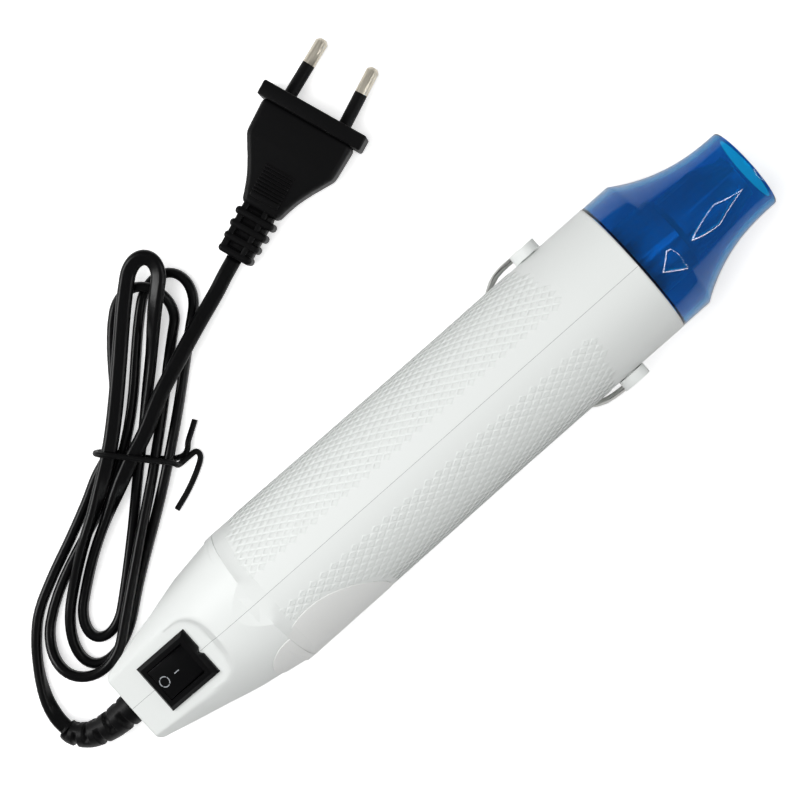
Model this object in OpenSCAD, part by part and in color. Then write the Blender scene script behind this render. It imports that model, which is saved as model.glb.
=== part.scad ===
// Embossing heat tool, in millimetres.
// +X runs to the nozzle, +Z is up, and the tool lies on z = 0 with its middle at the origin.
// Places along the tool are given as a distance from its tail end, by at().

/* [Tool body] */
// Length of the tool without its cord
tool_l = 237; // [215:1:285]
// Radius of the barrel in front
barrel_r = 22.3; // [18.6:0.1:26.8]
// How much fatter the barrel is behind its grip
grip_swell = 0.6; // [0:0.1:1.5]
// Length of the flare between the tail and the barrel
flare_l = 52; // [48:1:60]
// Width of the tail
tail_w = 25.2; // [22:0.2:30]
// Height of the tail
tail_h = 24.6; // [22:0.2:27]
// Wall of the shells
wall = 2.2; // [1.8:0.1:2.6]

/* [Switch face] */
// Slope of the switch face
face_a = 21; // [17:0.5:24]
// Length of the face along the tool
face_l = 36.9; // [35:0.1:42]
// Width of the face at its front
face_w = 21.6; // [20:0.2:26]
// Distance of the switch from the tail end
switch_s = 19.8; // [18.5:0.1:20.5]
// Length of the switch bezel
bezel_l = 20.6; // [17.2:0.1:24.7]
// Width of the switch bezel
bezel_w = 16.1; // [13.5:0.1:19.3]
// Height of the bezel above the face
bezel_h = 2; // [1.5:0.1:2.5]
// Half of the rocker's swing
rocker_a = 9; // [6:0.5:10]

/* [Nozzle and guard] */
// Length of the guard that shows
guard_l = 43.1; // [38:0.1:48]
// Radius of the guard at its narrow front
throat_r = 13.2; // [12.6:0.1:15.8]
// Wall of the guard
guard_wall = 1.7; // [1.4:0.1:2]
// Radius of the steel nozzle behind its step
tube_r = 12; // [10:0.1:14]
// Radius of the nozzle's opening, outside
outlet_r = 7; // [5.8:0.1:8.4]
// Sheet of the steel nozzle
sheet = 0.5; // [0.4:0.1:0.8]

/* [Stand] */
// Diameter of the stand wire
wire_d = 2; // [1.6:0.1:2.4]
// Distance of the stand's pivot behind the guard
pivot_back = 20.1; // [18:0.1:24]
// Diameter of the pivot buttons
button_d = 8.8; // [7.5:0.1:10.5]
// How far the buttons stand out of the barrel
button_out = 3.2; // [2.8:0.1:4]
// Straight length of each leg of the wire
leg_l = 11; // [9:0.5:13]

/* [Motor and fan] */
// Radius of the motor
motor_r = 12.2; // [10.2:0.1:13]
// Length of the motor
motor_l = 28; // [24:0.5:32]
// Number of fan blades
blades = 9; // [5:1:11]

/* [Cord] */
// Width of the flat cord
cord_w = 4.8; // [4.6:0.1:5]
// Thickness of the flat cord
cord_t = 3; // [2.8:0.1:3.2]
// Width of the plug's flange
plug_w = 34.6; // [33:0.2:36]
// Thickness of the plug's flange
plug_t = 13.7; // [13:0.1:14.5]
// Distance between the plug's pins at its face
pin_gap = 18.6; // [18:0.1:19.2]
// Length of the plug's pins
pin_l = 19; // [18:0.5:20]

/* [Hidden] */
$fn = 72;

// Gap between fixed pieces that sit in each other, and the running gap of a shaft
fit = 0.1;
run = 0.05;
// Gap to a moving piece
clear = 0.3;
over = 1;

// The barrel's axis stands over the folded stand wire
axis_z = barrel_r + wire_d + clear;
rear_r = barrel_r + grip_swell;
joint_s = tool_l - guard_l;
inner_r = barrel_r - wall;

module at(s) { translate([s - tool_l / 2, 0, 0]) children(); }
module on_axis(s) { at(s) translate([0, 0, axis_z]) rotate([0, 90, 0]) children(); }
module rod(s0, s1, r) { on_axis(s0) cylinder(h = s1 - s0, r = r); }
module cone(s0, s1, r0, r1) { on_axis(s0) cylinder(h = s1 - s0, r1 = r0, r2 = r1); }
// A body of revolution about the barrel's axis, from points of [distance from the tail, radius]
module turned(points) {
  on_axis(0) rotate_extrude() polygon([for (p = points) [p[1], p[0]]]);
}

// Shares of the flare's length and of its growth in width, from tail to barrel
flare = [[0.23, 0.21], [0.45, 0.46], [0.68, 0.77], [0.78, 0.9], [0.86, 0.97], [0.93, 0.995], [1, 1]];
corner_r = 2.5;
// The round of the tail: its middle, its radius at both ends, and how far forward it is cut
tail_round_r = 15.5;
flat_l = 34;
barrel_from = 49;

function half_at(share) = tail_w / 2 + share * (rear_r - tail_w / 2);
function plan_side(cut) = concat(
  [for (a = [90 : -18 : 0]) [cut + corner_r * (1 - sin(a)), tail_w / 2 - cut - corner_r * (1 - cos(a))]],
  [for (f = flare) [f[0] * flare_l, half_at(f[1]) - cut]]);
function face_z(s) = tail_h + s * tan(face_a);

module tail_form(cut) {
  side = plan_side(cut);
  round_a = atan((axis_z - tail_h / 2) / flare_l);
  round_l = flare_l / cos(round_a);
  r_back = tail_round_r - cut - 1.4;
  top_z = axis_z + rear_r - cut;
  face_low = cut > 0 ? cut / cos(face_a) : 0;
  intersection() {
    at(0) linear_extrude(height = 3 * axis_z)
      polygon(concat(side, [for (i = [len(side) - 1 : -1 : 0]) [side[i][0], -side[i][1]]]));
    at(0) translate([0, 2 * tail_w, 0]) rotate([90, 0, 0]) linear_extrude(height = 4 * tail_w)
      polygon([[cut, cut + corner_r], [cut + corner_r, cut], [flat_l, cut],
        [flare_l, axis_z - rear_r + cut], [flare_l, top_z], [face_l + cut, top_z - 3],
        [face_l + cut, cut > 0 ? face_z(face_l) - face_low : top_z - 3], [cut, face_z(cut) - face_low]]);
    at(0) translate([0, 0, tail_h / 2]) rotate([0, 90 - round_a, 0])
      translate([0, 0, -10]) cylinder(h = round_l + 20, r1 = r_back,
        r2 = r_back + (rear_r - 0.05 - cut - r_back) * (round_l + 20) / (round_l + 10));
  }
}

module barrel_form(cut) {
  turned([[barrel_from, 0], [barrel_from, rear_r - 0.1 - cut], [flare_l, rear_r - cut],
    [joint_s * 0.69, barrel_r - cut], [joint_s, barrel_r - cut], [joint_s, 0]]);
}

// In the frame of the switch face: +X up the slope, +Z out of the face
module on_face(s) {
  at(s) translate([0, 0, face_z(s)]) rotate([0, -face_a, 0]) children();
}

// The step in front of the face rises as a ramp over this length, at this rate
ramp_l = 3.4;
ramp_rate = 1.1;
module face_cut() {
  low_l = face_l / cos(face_a) - ramp_l;
  round_r = 7;
  high = 20;
  grow = high * ramp_rate;
  mid_w = face_w - 2 * round_r;
  on_face(0) {
    translate([-10, -tail_w, 0]) cube([10 + low_l - round_r - 3, 2 * tail_w, high]);
    translate([-10, 0, 0]) rotate([90, 0, 90]) linear_extrude(height = 10 + low_l - round_r)
      polygon([[-face_w / 2, 0], [face_w / 2, 0], [face_w / 2 + grow, high], [-face_w / 2 - grow, high]]);
    translate([0, mid_w / 2, 0]) rotate([90, 0, 0]) linear_extrude(height = mid_w)
      polygon([[0, 0], [low_l, 0], [low_l + grow, high], [0, high]]);
    for (y = [-1, 1]) translate([low_l - round_r, y * mid_w / 2, 0])
      cylinder(h = high, r1 = round_r, r2 = round_r + grow);
  }
}

// Inside the shells, measured from the tail unless it belongs to the nozzle
boot_z = 10.5;
boot_neck_r = 4.1;
motor_s = 60;
bracket_s = motor_s + motor_l;
bracket_t = 2.5;
housing_s = bracket_s + bracket_t;
housing_wall = 1.4;
housing_r = inner_r - clear;
fan_s = housing_s + 3.5;
fan_l = 10;
funnel_s = fan_s + fan_l + 6;
collar_s = funnel_s + 16;
tube_s = collar_s + 2;
collar_end = collar_s + 8;
collar_r = tube_r + fit + housing_wall;
step_s = tool_l - 27.5;
neck_s = tool_l - 13.3;
outlet_s = tool_l - 3.7;
neck_r = outlet_r + 3;
pivot_s = joint_s - pivot_back;
ring_s = joint_s - 11.5;
ring_t = 3;
rib_t = 1.3;
spigot_l = 6.5;
spigot_r = inner_r - fit;

// Screws that join the shells, low on the sides
screw_s = [flare_l - 5, bracket_s - 4, collar_end + 4, pivot_s - 10];
boss_r = 3.4;
screw_z = axis_z - motor_r - boss_r - 2;
screw_r = 1.4;
head_r = 2.8;
seat_y = 4.5;
shank_r = 2.5;
bore_r = shank_r + run;
lip_y = max(inner_r - 4.6, tube_r + 2.9);
pivot_boss = [lip_y, 5];

// Air slots under the shells
slot_l = 14;
slot_w = 2;
slot_s = motor_s + 3;
slot_angles = [14, 26, 38, 50];

// Cord clamp posts
clamp_s = 9;
post_z = 5.6;
post_r = 2.6;
clamp_screw_r = 1.2;

module full_shell() {
  difference() {
    union() {
      difference() {
        union() { tail_form(0); barrel_form(0); }
        face_cut();
        tail_form(wall);
        difference() { barrel_form(wall); at(0) cube([2 * flare_l - 4, 100, 200], center = true); }
        rod(joint_s - over, joint_s + over, inner_r);
      }
      intersection() {
        union() { tail_form(wall / 2); barrel_form(wall / 2); }
        shell_inside();
      }
    }
    // Bores of the stand's pivots, and the cord's hole in the tail
    at(pivot_s) translate([0, 0, axis_z]) rotate([90, 0, 0]) cylinder(h = 80, r = bore_r, center = true);
    at(-over) translate([0, 0, boot_z]) rotate([0, 90, 0])
      cylinder(h = wall + 2 * over, r = boot_neck_r + fit);
    // Opening for the switch
    on_face(switch_s) translate([-bezel_l / 2 + 0.9, -bezel_w / 2 + 1.4, -wall * 2])
      cube([bezel_l - 1.8, bezel_w - 2.8, wall * 3]);
    for (a = slot_angles, side = [-1, 1]) at(slot_s) translate([0, 0, axis_z])
      rotate([side * a, 0, 0]) translate([0, -slot_w / 2, -rear_r - over]) cube([slot_l, slot_w, wall + 3]);
    for (s = screw_s) at(s) translate([0, 0, screw_z]) rotate([90, 0, 0]) {
      translate([0, 0, seat_y]) cylinder(h = rear_r, r = head_r + fit);
      translate([0, 0, -8]) cylinder(h = seat_y + 9, r = screw_r);
    }
  }
}

module shell_inside() {
  for (s = screw_s) at(s) translate([0, 0, screw_z]) rotate([90, 0, 0])
    cylinder(h = 2 * rear_r, r = boss_r, center = true);
  for (side = [-1, 1]) at(pivot_s) translate([0, side * pivot_boss[0], axis_z]) rotate([-side * 90, 0, 0])
    cylinder(h = barrel_r - pivot_boss[0], r = pivot_boss[1]);
  for (s = [ring_s - rib_t, ring_s + ring_t + fit]) difference() {
    rod(s, s + rib_t, inner_r + wall / 2);
    rod(s - over, s + rib_t + over, inner_r - 2.6);
  }
}

module clamp_posts() {
  for (z = [-1, 1]) difference() {
    at(clamp_s) translate([0, 0, boot_z + z * post_z]) rotate([-90, 0, 0])
      translate([0, 0, -cord_t / 2]) cylinder(h = tail_w / 2 - wall / 2 + cord_t / 2, r = post_r);
    at(clamp_s) translate([0, 0, boot_z + z * post_z]) rotate([-90, 0, 0])
      translate([0, 0, -over - cord_t / 2]) cylinder(h = 9, r = clamp_screw_r);
  }
  at(clamp_s - post_r) translate([0, cord_t / 2, boot_z - 4])
    cube([2 * post_r, tail_w / 2 - wall / 2 - cord_t / 2, 8]);
}

module left_shell() {
  color("whitesmoke") {
    intersection() {
      full_shell();
      at(-over) translate([0, 0, -over]) cube([tool_l, 2 * barrel_r, 4 * barrel_r]);
    }
    intersection() {
      clamp_posts();
      tail_form(wall / 2);
    }
  }
}

module right_shell() {
  color("whitesmoke") intersection() {
    full_shell();
    at(-over) translate([0, -2 * barrel_r, -over]) cube([tool_l, 2 * barrel_r, 4 * barrel_r]);
  }
}

// The guard narrows from its collar to its throat
collar_l = 9.8;
lip = 0.6;
throat_shape = 2.35;
function guard_r(s) = let (t = (s - joint_s - collar_l) / (guard_l - collar_l - 1.3))
  throat_r + (barrel_r - fit - throat_r) * pow(1 - min(1, max(0, t)), throat_shape);
guard_steps = [for (i = [0 : 12]) joint_s + collar_l + i * (guard_l - collar_l - 1.3) / 12];

module nozzle_guard() {
  color([0, 0.32, 0.68, 0.6]) turned(concat(
    [[joint_s - spigot_l, spigot_r], [joint_s, spigot_r], [joint_s, barrel_r - fit]],
    [for (s = guard_steps) [s, guard_r(s)]],
    [[tool_l - lip, throat_r], [tool_l, throat_r - lip], [tool_l, throat_r - guard_wall + lip / 2],
      [tool_l - lip, throat_r - guard_wall]],
    [for (i = [12 : -1 : 0]) [guard_steps[i] - 0.4, guard_r(guard_steps[i]) - guard_wall]],
    [[joint_s + 2, barrel_r - fit - guard_wall], [joint_s, spigot_r - guard_wall],
      [joint_s - spigot_l, spigot_r - guard_wall]]));
}

rim_l = 2;
module heat_nozzle() {
  color("silver") turned([[tube_s, tube_r], [step_s - 1, tube_r], [step_s + 1.2, neck_r], [neck_s, neck_r],
    [outlet_s - rim_l, outlet_r], [outlet_s, outlet_r], [outlet_s, outlet_r - sheet],
    [outlet_s - rim_l, outlet_r - sheet], [neck_s, neck_r - sheet],
    [step_s + 1, neck_r - sheet], [step_s - 1.2, tube_r - sheet], [tube_s, tube_r - sheet]]);
}

module front_ring() {
  color("tan") difference() {
    rod(ring_s, ring_s + ring_t, inner_r - fit);
    rod(ring_s - over, ring_s + ring_t + over, tube_r + fit);
  }
}

sleeve_r = tube_r - sheet - fit;
sleeve_t = 0.4;
sleeve_s = collar_end - 2;
sleeve_end = step_s - 3;
module mica_sleeve() {
  color("khaki") difference() {
    rod(sleeve_s, sleeve_end, sleeve_r);
    rod(sleeve_s - over, sleeve_end + over, sleeve_r - sleeve_t);
  }
}

former_s = sleeve_s + 4;
former_l = sleeve_end - 3 - former_s;
former_r = sleeve_r - sleeve_t - fit;
mica_t = 0.6;
waist_r = former_r - 4;
end_l = 4;
module heater_former() {
  color("khaki") for (a = [0, 90]) at(former_s) translate([0, 0, axis_z]) rotate([a, 0, 0])
    translate([0, mica_t / 2, 0]) rotate([90, 0, 0]) linear_extrude(height = mica_t)
      polygon([[0, -former_r], [end_l, -former_r], [end_l, -waist_r], [former_l - end_l, -waist_r],
        [former_l - end_l, -former_r], [former_l, -former_r], [former_l, former_r],
        [former_l - end_l, former_r], [former_l - end_l, waist_r], [end_l, waist_r], [end_l, former_r],
        [0, former_r]]);
}

// A tube of n sides swept along points; wide and thick are its full sizes, and roll turns its section
function unit(v) = v / norm(v);
function tangent(p, i) = unit(p[min(i + 1, len(p) - 1)] - p[max(i - 1, 0)]);
function across(t) = abs(t[2]) > 0.95 ? unit(cross(t, [1, 0, 0])) : unit(cross([0, 0, 1], t));
function section(p, i, wide, thick, roll, n) =
  let (t = tangent(p, i), a = across(t), b = cross(t, a), r = roll[i])
  [for (k = [0 : n - 1])
    let (c = cos(360 * (k + 0.5) / n) * wide / 2, s = sin(360 * (k + 0.5) / n) * thick / 2)
    p[i] + (c * cos(r) - s * sin(r)) * a + (c * sin(r) + s * cos(r)) * b];
// The first and last points can be left out as before and after: they only turn the ends of the tube
module swept(p, wide, thick, roll, n, before = 0, after = 0) {
  m = len(p) - before - after;
  polyhedron(points = [for (i = [before : m - 1 + before], q = section(p, i, wide, thick, roll, n)) q],
    faces = concat([[for (k = [0 : n - 1]) k]], [[for (k = [n - 1 : -1 : 0]) (m - 1) * n + k]],
      [for (i = [0 : m - 2], k = [0 : n - 1], h = [0, 1]) let (j = (k + 1) % n)
        h == 0 ? [i * n + k, (i + 1) * n + k, i * n + j] : [i * n + j, (i + 1) * n + k, (i + 1) * n + j]]),
    convexity = 10);
}
function zeros(p) = [for (q = p) 0];
module round_tube(p, d, n) { swept(p, d, d, zeros(p), n); }

coil_wire = 0.8;
coil_turns = 10;
module heater_coil() {
  r = waist_r + coil_wire / 2 + 0.25;
  l = former_l - 2 * end_l - 3;
  steps = coil_turns * 12;
  color("dimgray") round_tube([for (i = [0 : steps]) [former_s + end_l + 1.5 + l * i / steps - tool_l / 2,
    r * cos(i * 30), axis_z + r * sin(i * 30)]], coil_wire, 5);
}

cutout_r = 1.6;
module thermal_cutout() {
  off = mica_t / 2 + cutout_r + clear;
  color("gainsboro") translate([0, off, off]) rod(former_s + end_l, former_s + end_l + 9, cutout_r);
}

// Funnel that leads the fan's air into the nozzle tube
module fan_housing() {
  color("dimgray") difference() {
    union() {
      rod(housing_s, funnel_s, housing_r);
      cone(funnel_s, collar_s, housing_r, collar_r);
      rod(collar_s, collar_end, collar_r);
    }
    rod(housing_s - over, funnel_s, housing_r - housing_wall);
    cone(funnel_s, collar_s, housing_r - housing_wall, tube_r - housing_wall);
    rod(collar_s - over, collar_end + over, tube_r - housing_wall);
    rod(tube_s, collar_end + over, tube_r + fit);
  }
}

fan_r = housing_r - housing_wall - 0.8;
hub_r = 5;
shaft_r = 1;
module fan() {
  color("darkslategray") {
    difference() {
      rod(fan_s, fan_s + fan_l, hub_r);
      rod(fan_s - over, fan_s + fan_l + over, shaft_r);
    }
    for (i = [0 : blades - 1]) at(fan_s + fan_l / 2) translate([0, 0, axis_z])
      rotate([i * 360 / blades, 0, 0]) translate([0, 0, hub_r - 0.4]) rotate([0, 0, 38])
        translate([-fan_l * 0.62, -0.5, 0]) cube([fan_l * 1.1, 1, fan_r - hub_r - 0.6]);
  }
}

shaft_in = 6;
module motor_shaft() {
  color("silver") rod(bracket_s - shaft_in, fan_s + fan_l + 1, shaft_r);
}

boss_l = 2;
module motor_can() {
  color("lightgray") difference() {
    union() {
      rod(motor_s, bracket_s, motor_r);
      rod(bracket_s, bracket_s + boss_l, 3);
      rod(motor_s - 1.2, motor_s, 4);
    }
    rod(bracket_s - shaft_in - 0.2, bracket_s + 3, shaft_r + run);
    for (y = [-1, 1]) translate([0, y * 8, 0]) rod(bracket_s - 4, bracket_s + over, 0.9);
  }
}

module motor_bracket() {
  color("dimgray") difference() {
    rod(bracket_s, housing_s, housing_r);
    rod(bracket_s - over, housing_s + over, 3 + fit);
    for (y = [-1, 1]) translate([0, y * 8, 0]) rod(bracket_s - over, housing_s + over, 0.9 + fit);
    for (a = [45 : 90 : 315]) at(bracket_s - over) translate([0, 0, axis_z]) rotate([a, 0, 0])
      translate([0, -4.5, 7.5]) cube([bracket_t + 2 * over, 9, housing_r - 10.5]);
  }
}

module motor_screws() {
  color("silver") for (y = [-1, 1]) translate([0, y * 8, 0]) {
    rod(bracket_s - 3.5, housing_s, 0.9);
    rod(housing_s, housing_s + 1.2, 1.8);
  }
}

board_t = 1.6;
board_s = motor_s - 1.2 - 0.2 - board_t;
module circuit_board() {
  color("peru") difference() {
    rod(board_s, board_s + board_t, motor_r - 0.7);
    for (y = [-1, 1]) translate([0, y * 7, 0]) rod(board_s - over, board_s + board_t + over, 0.6);
  }
}

diode_r = 1.3;
module board_diodes() {
  color("black") for (i = [0 : 3]) at(board_s - diode_r - 0.1)
    translate([0, (i - 1.5) * 3.6, axis_z + 2]) cylinder(h = 5, r = diode_r);
}

capacitor_l = 6;
module board_capacitor() {
  color("royalblue") translate([0, 0, -4.5]) rod(board_s - capacitor_l, board_s, 2.6);
}

// Switch, in the frame of its face
opening_l = bezel_l - 5.7;
opening_w = bezel_w - 5.3;
body_d = 12.5;
body_l = bezel_l - 2;
body_w = bezel_w - 3;
rocker_r = opening_l / 2 - 0.15;
pocket_d = 5;
// The rocker turns on two short trunnions in the housing's side walls
trunnion_r = 0.8;
trunnion_l = 0.8;
module switch_housing() {
  bevel = 1.2;
  color("#1a1a1c") on_face(switch_s) difference() {
    union() {
      translate([0, 0, 0.02]) linear_extrude(height = bezel_h - bevel)
        square([bezel_l, bezel_w], center = true);
      hull() {
        translate([0, 0, bezel_h - bevel]) linear_extrude(height = 0.01)
          square([bezel_l, bezel_w], center = true);
        translate([0, 0, bezel_h - 0.01]) linear_extrude(height = 0.01)
          square([bezel_l - 2 * bevel, bezel_w - 2 * bevel], center = true);
      }
      translate([-body_l / 2, -body_w / 2, -body_d]) cube([body_l, body_w, body_d + 0.5]);
    }
    translate([-opening_l / 2, -opening_w / 2, -pocket_d]) cube([opening_l, opening_w, pocket_d + 5]);
    translate([bezel_l / 2, 0, -1]) rotate([0, 0, 45]) cube([1.6, 1.6, 8], center = true);
    rotate([90, 0, 0]) cylinder(h = opening_w + 2 * trunnion_l + 0.2, r = trunnion_r + run, center = true);
  }
}

// The rocker swings about the face's own plane; its pressed end is the front one at rest
ridge_h = 3.4;
module switch_rocker() {
  end_x = 7 / 7.45 * opening_l / 2;
  color("#202022") on_face(switch_s) rotate([0, rocker_a, 0]) {
    intersection() {
      translate([0, (opening_w - 2 * clear) / 2, 0]) rotate([90, 0, 0])
        linear_extrude(height = opening_w - 2 * clear)
          polygon([[-end_x, -2], [0, -2.8], [end_x, -2], [end_x, 2], [0, ridge_h], [-end_x, 2]]);
      rotate([90, 0, 0]) cylinder(h = bezel_w, r = rocker_r, center = true);
    }
  }
  color("#202022") on_face(switch_s) rotate([90, 0, 0])
    cylinder(h = opening_w + 2 * trunnion_l, r = trunnion_r, center = true);
}

module switch_terminals() {
  color("goldenrod") on_face(switch_s) for (x = [-4.5, 4.5])
    translate([x - 0.4, -2.4, -body_d - 7]) cube([0.8, 4.8, 7]);
}

module inner_wires() {
  wire = 1.8;
  tip = switch_s + 4.5;
  color("saddlebrown") translate([-tool_l / 2, 0, 0]) {
    round_tube([[14.1, -1, boot_z], [17, -1, boot_z], [20, -1.5, 9.5], [24, -1.5, 8.4], [27, -1, 8.6],
      [tip + 2.5, 0, 10.5], [tip + 0.6, 0, 12.4]], wire, 8);
    round_tube([[14.1, 2.5, boot_z], [18, 2.6, boot_z - 0.5], [24, 4.5, 9.5], [32, 6, 12],
      [42, 6, axis_z - 8], [board_s - 4, 7, axis_z - 5], [board_s - 0.1, 7, axis_z - 5]], wire, 8);
  }
}

module inner_cord_end() {
  color("#161618") at(wall + 2.1) translate([0, -cord_t / 2, boot_z - cord_w / 2]) union() {
    translate([0, 0, cord_t / 2]) cube([14 - wall - 2.1, cord_t - 0.1, cord_w - cord_t]);
    for (z = [cord_t / 2, cord_w - cord_t / 2]) translate([0, cord_t / 2 - 0.05, z]) rotate([0, 90, 0])
      cylinder(h = 14 - wall - 2.1, r = cord_t / 2 - 0.05);
  }
}

clamp_t = 2.5;
clamp_w = 5;
module cord_clamp() {
  h = 2 * post_z + clamp_w;
  color("dimgray") difference() {
    at(clamp_s - clamp_w / 2) translate([0, -cord_t / 2 - clamp_t, boot_z - h / 2])
      cube([clamp_w, clamp_t, h]);
    for (z = [-1, 1]) at(clamp_s) translate([0, 0, boot_z + z * post_z]) rotate([90, 0, 0])
      cylinder(h = 10, r = clamp_screw_r + fit);
  }
}

module clamp_screws() {
  color("silver") for (z = [-1, 1]) at(clamp_s) translate([0, -cord_t / 2 - clamp_t, boot_z + z * post_z])
    rotate([-90, 0, 0]) {
      cylinder(h = clamp_t + 6, r = clamp_screw_r);
      translate([0, 0, -1.6]) cylinder(h = 1.6, r = 2.2);
    }
}

module shell_screws() {
  color("silver") for (s = screw_s) at(s) translate([0, -seat_y, screw_z]) rotate([-90, 0, 0]) {
    cylinder(h = seat_y + 7, r = screw_r);
    translate([0, 0, -2]) cylinder(h = 2, r = head_r);
  }
}

// The stand folds back at 45 degrees until its crossbar meets the barrel's underside
fold_a = 45;
leg_y = barrel_r + button_out - wire_d * 0.4;
reach = (axis_z - wire_d / 2) / sin(fold_a);
bend_r = min(reach - leg_l, leg_y - 1);
pin_in = 5.5;
module on_stand() {
  at(pivot_s) translate([0, 0, axis_z]) rotate([0, 180 - fold_a, 0]) children();
}

elbow_r = 1.5;
function arc(c, r, a0, a1, n) = [for (i = [0 : n]) let (a = a0 + (a1 - a0) * i / n)
  [c[0] + r * cos(a), c[1] + r * sin(a), 0]];
wire_half = concat([[0, leg_y - pin_in, 0]], arc([elbow_r, leg_y - elbow_r], elbow_r, 180, 90, 5),
  arc([reach - bend_r, leg_y - bend_r], bend_r, 90, 0, 10));

module stand_wire() {
  m = len(wire_half) - 1;
  color("silver") on_stand()
    round_tube(concat(wire_half, [for (i = [m : -1 : 0]) [wire_half[i][0], -wire_half[i][1], 0]]), wire_d, 12);
}

module stand_button() {
  r = wire_d / 2 + fit / 2;
  on_stand() difference() {
    union() {
      translate([0, barrel_r + fit, 0]) rotate([-90, 0, 0]) cylinder(h = button_out - fit, r = button_d / 2);
      translate([0, lip_y - 1, 0]) rotate([-90, 0, 0]) cylinder(h = barrel_r - lip_y + 2, r = shank_r);
      translate([0, lip_y - 1.3, 0]) rotate([-90, 0, 0]) cylinder(h = 1.2, r = shank_r + 0.7);
    }
    translate([0, leg_y - pin_in - fit, 0]) rotate([-90, 0, 0]) cylinder(h = 20, r = r);
    translate([0, leg_y, 0]) rotate([0, 90, 0]) cylinder(h = button_d, r = r);
    translate([0, leg_y, -r]) cube([button_d, button_d, 2 * r]);
    translate([-r, leg_y - elbow_r, -r]) cube([elbow_r + 2 * r, button_d, 2 * r]);
  }
}
module stand_button_left() { color("whitesmoke") stand_button(); }
module stand_button_right() { color("whitesmoke") mirror([0, 1, 0]) stand_button(); }

// Oval label on the right side, a thin skin over the flare and the barrel
label_s = 61.5;
label_l = 42;
label_w = 31;
label_a = 70;
module rating_label() {
  color("gainsboro") intersection() {
    difference() {
      union() { tail_form(-0.3); barrel_form(-0.3); }
      tail_form(-0.12);
      barrel_form(-0.12);
    }
    at(label_s) translate([0, 0, axis_z]) rotate([label_a, 0, 0]) linear_extrude(height = 2 * barrel_r)
      polygon([for (a = [0 : 10 : 350]) [label_l / 2 * cos(a), label_w / 2 * sin(a)]]);
  }
}

// Ribbed boot: a tapered core with rings along a bend, from the tail to the cord
boot_line = [[-118.8, 0, 10.5], [-122, 0, 10.4], [-126, 0, 9.8], [-130, 0.2, 8.9], [-134, 0.9, 7.8],
  [-137.6, 2.1, 6.7], [-140.4, 4.2, 5.7], [-142, 6.3, 5], [-142.4, 8, 4.6]];
boot_r = 5.2;
boot_end_r = 3.2;
rib_at = [2, 3, 4, 5, 6, 7];
module cord_boot() {
  tail = [tool_l / 2 - 118.5, 0, 0];
  m = len(boot_line) - 1;
  color("#141416") {
    translate(-tail) {
      swept_taper(concat(boot_line, [places(lead_curve)[1]]), boot_r - 0.9, boot_end_r - 0.5, 12);
      for (i = rib_at) translate(boot_line[i]) face_along(tangent(boot_line, i))
        cylinder(h = 1.8, r = boot_r - (boot_r - boot_end_r) * i / m, center = true);
      translate([-122, 0, boot_z]) rotate([0, 90, 0]) cylinder(h = 3.4, r = boot_r);
    }
    at(-0.5) translate([0, 0, boot_z]) rotate([0, 90, 0]) cylinder(h = wall + 0.6, r = boot_neck_r);
    at(wall + 0.1) translate([0, 0, boot_z]) rotate([0, 90, 0]) cylinder(h = 2, r = boot_r + 0.5);
  }
}
module face_along(t) { rotate([0, acos(t[2]), atan2(t[1], t[0])]) children(); }
// The last point only turns the end of the tube
module swept_taper(p, r0, r1, n) {
  m = len(p) - 1;
  rings = [for (i = [0 : m - 1]) let (t = tangent(p, i), a = across(t), b = cross(t, a),
    r = r0 + (r1 - r0) * i / (m - 1))
    [for (k = [0 : n - 1]) p[i] + r * (cos(360 * k / n) * a + sin(360 * k / n) * b)]];
  polyhedron(points = [for (q = rings, v = q) v],
    faces = concat([[for (k = [0 : n - 1]) k]], [[for (k = [n - 1 : -1 : 0]) (m - 1) * n + k]],
      [for (i = [0 : m - 2], k = [0 : n - 1], h = [0, 1]) let (j = (k + 1) % n)
        h == 0 ? [i * n + k, (i + 1) * n + k, i * n + j] : [i * n + j, (i + 1) * n + k, (i + 1) * n + j]]),
    convexity = 10);
}

// Where the cord enters the plug, and which way the plug points
plug_at = [-9.6, 80.1];
plug_a = 18.9;
plug_z = plug_t / 2;

// Cord routes: [x, y, z, roll], where roll 0 lies flat and 90 stands on edge
lead_line = [[-142.4, 8, 4.6, 0], [-142.6, 13, 4.2, 20], [-141.2, 19.5, 3.4, 60], [-137.4, 27.3, 2.6, 90],
  [-131.6, 34.8, 2.6, 90], [-125, 40.6, 2.6, 90], [-115, 45.7, 2.6, 90], [-103.6, 50.5, 2.6, 90],
  [-92.4, 55.5, 3, 90], [-84.4, 59.4, 4, 90]];
run_line = [[-64, 59, 9, 0], [-53.3, 64.3, 8.8, 0], [-42, 68.6, 8.2, 0], [-31.4, 72.5, 7.2, 0],
  [-21, 76, 6.6, 0], [-15, 78.25, 6.85, 0], [-9.6, 80.1, 6.85, 0]];

// The hank: three loops, drawn in at the waist by the tie, along a line turned by hank_a
hank_at = [-71.4, 55.1];
hank_a = 38.6;
// Each pass through the waist: place across, height and roll
waist = [[8.6, 4.6, 90], [-5.2, 4.6, 90], [4.8, 4.6, 90], [-9.2, 4.6, 90], [8.1, 9, 0], [-0.6, 4.6, 90],
  [1.1, 9, 0]];
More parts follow.
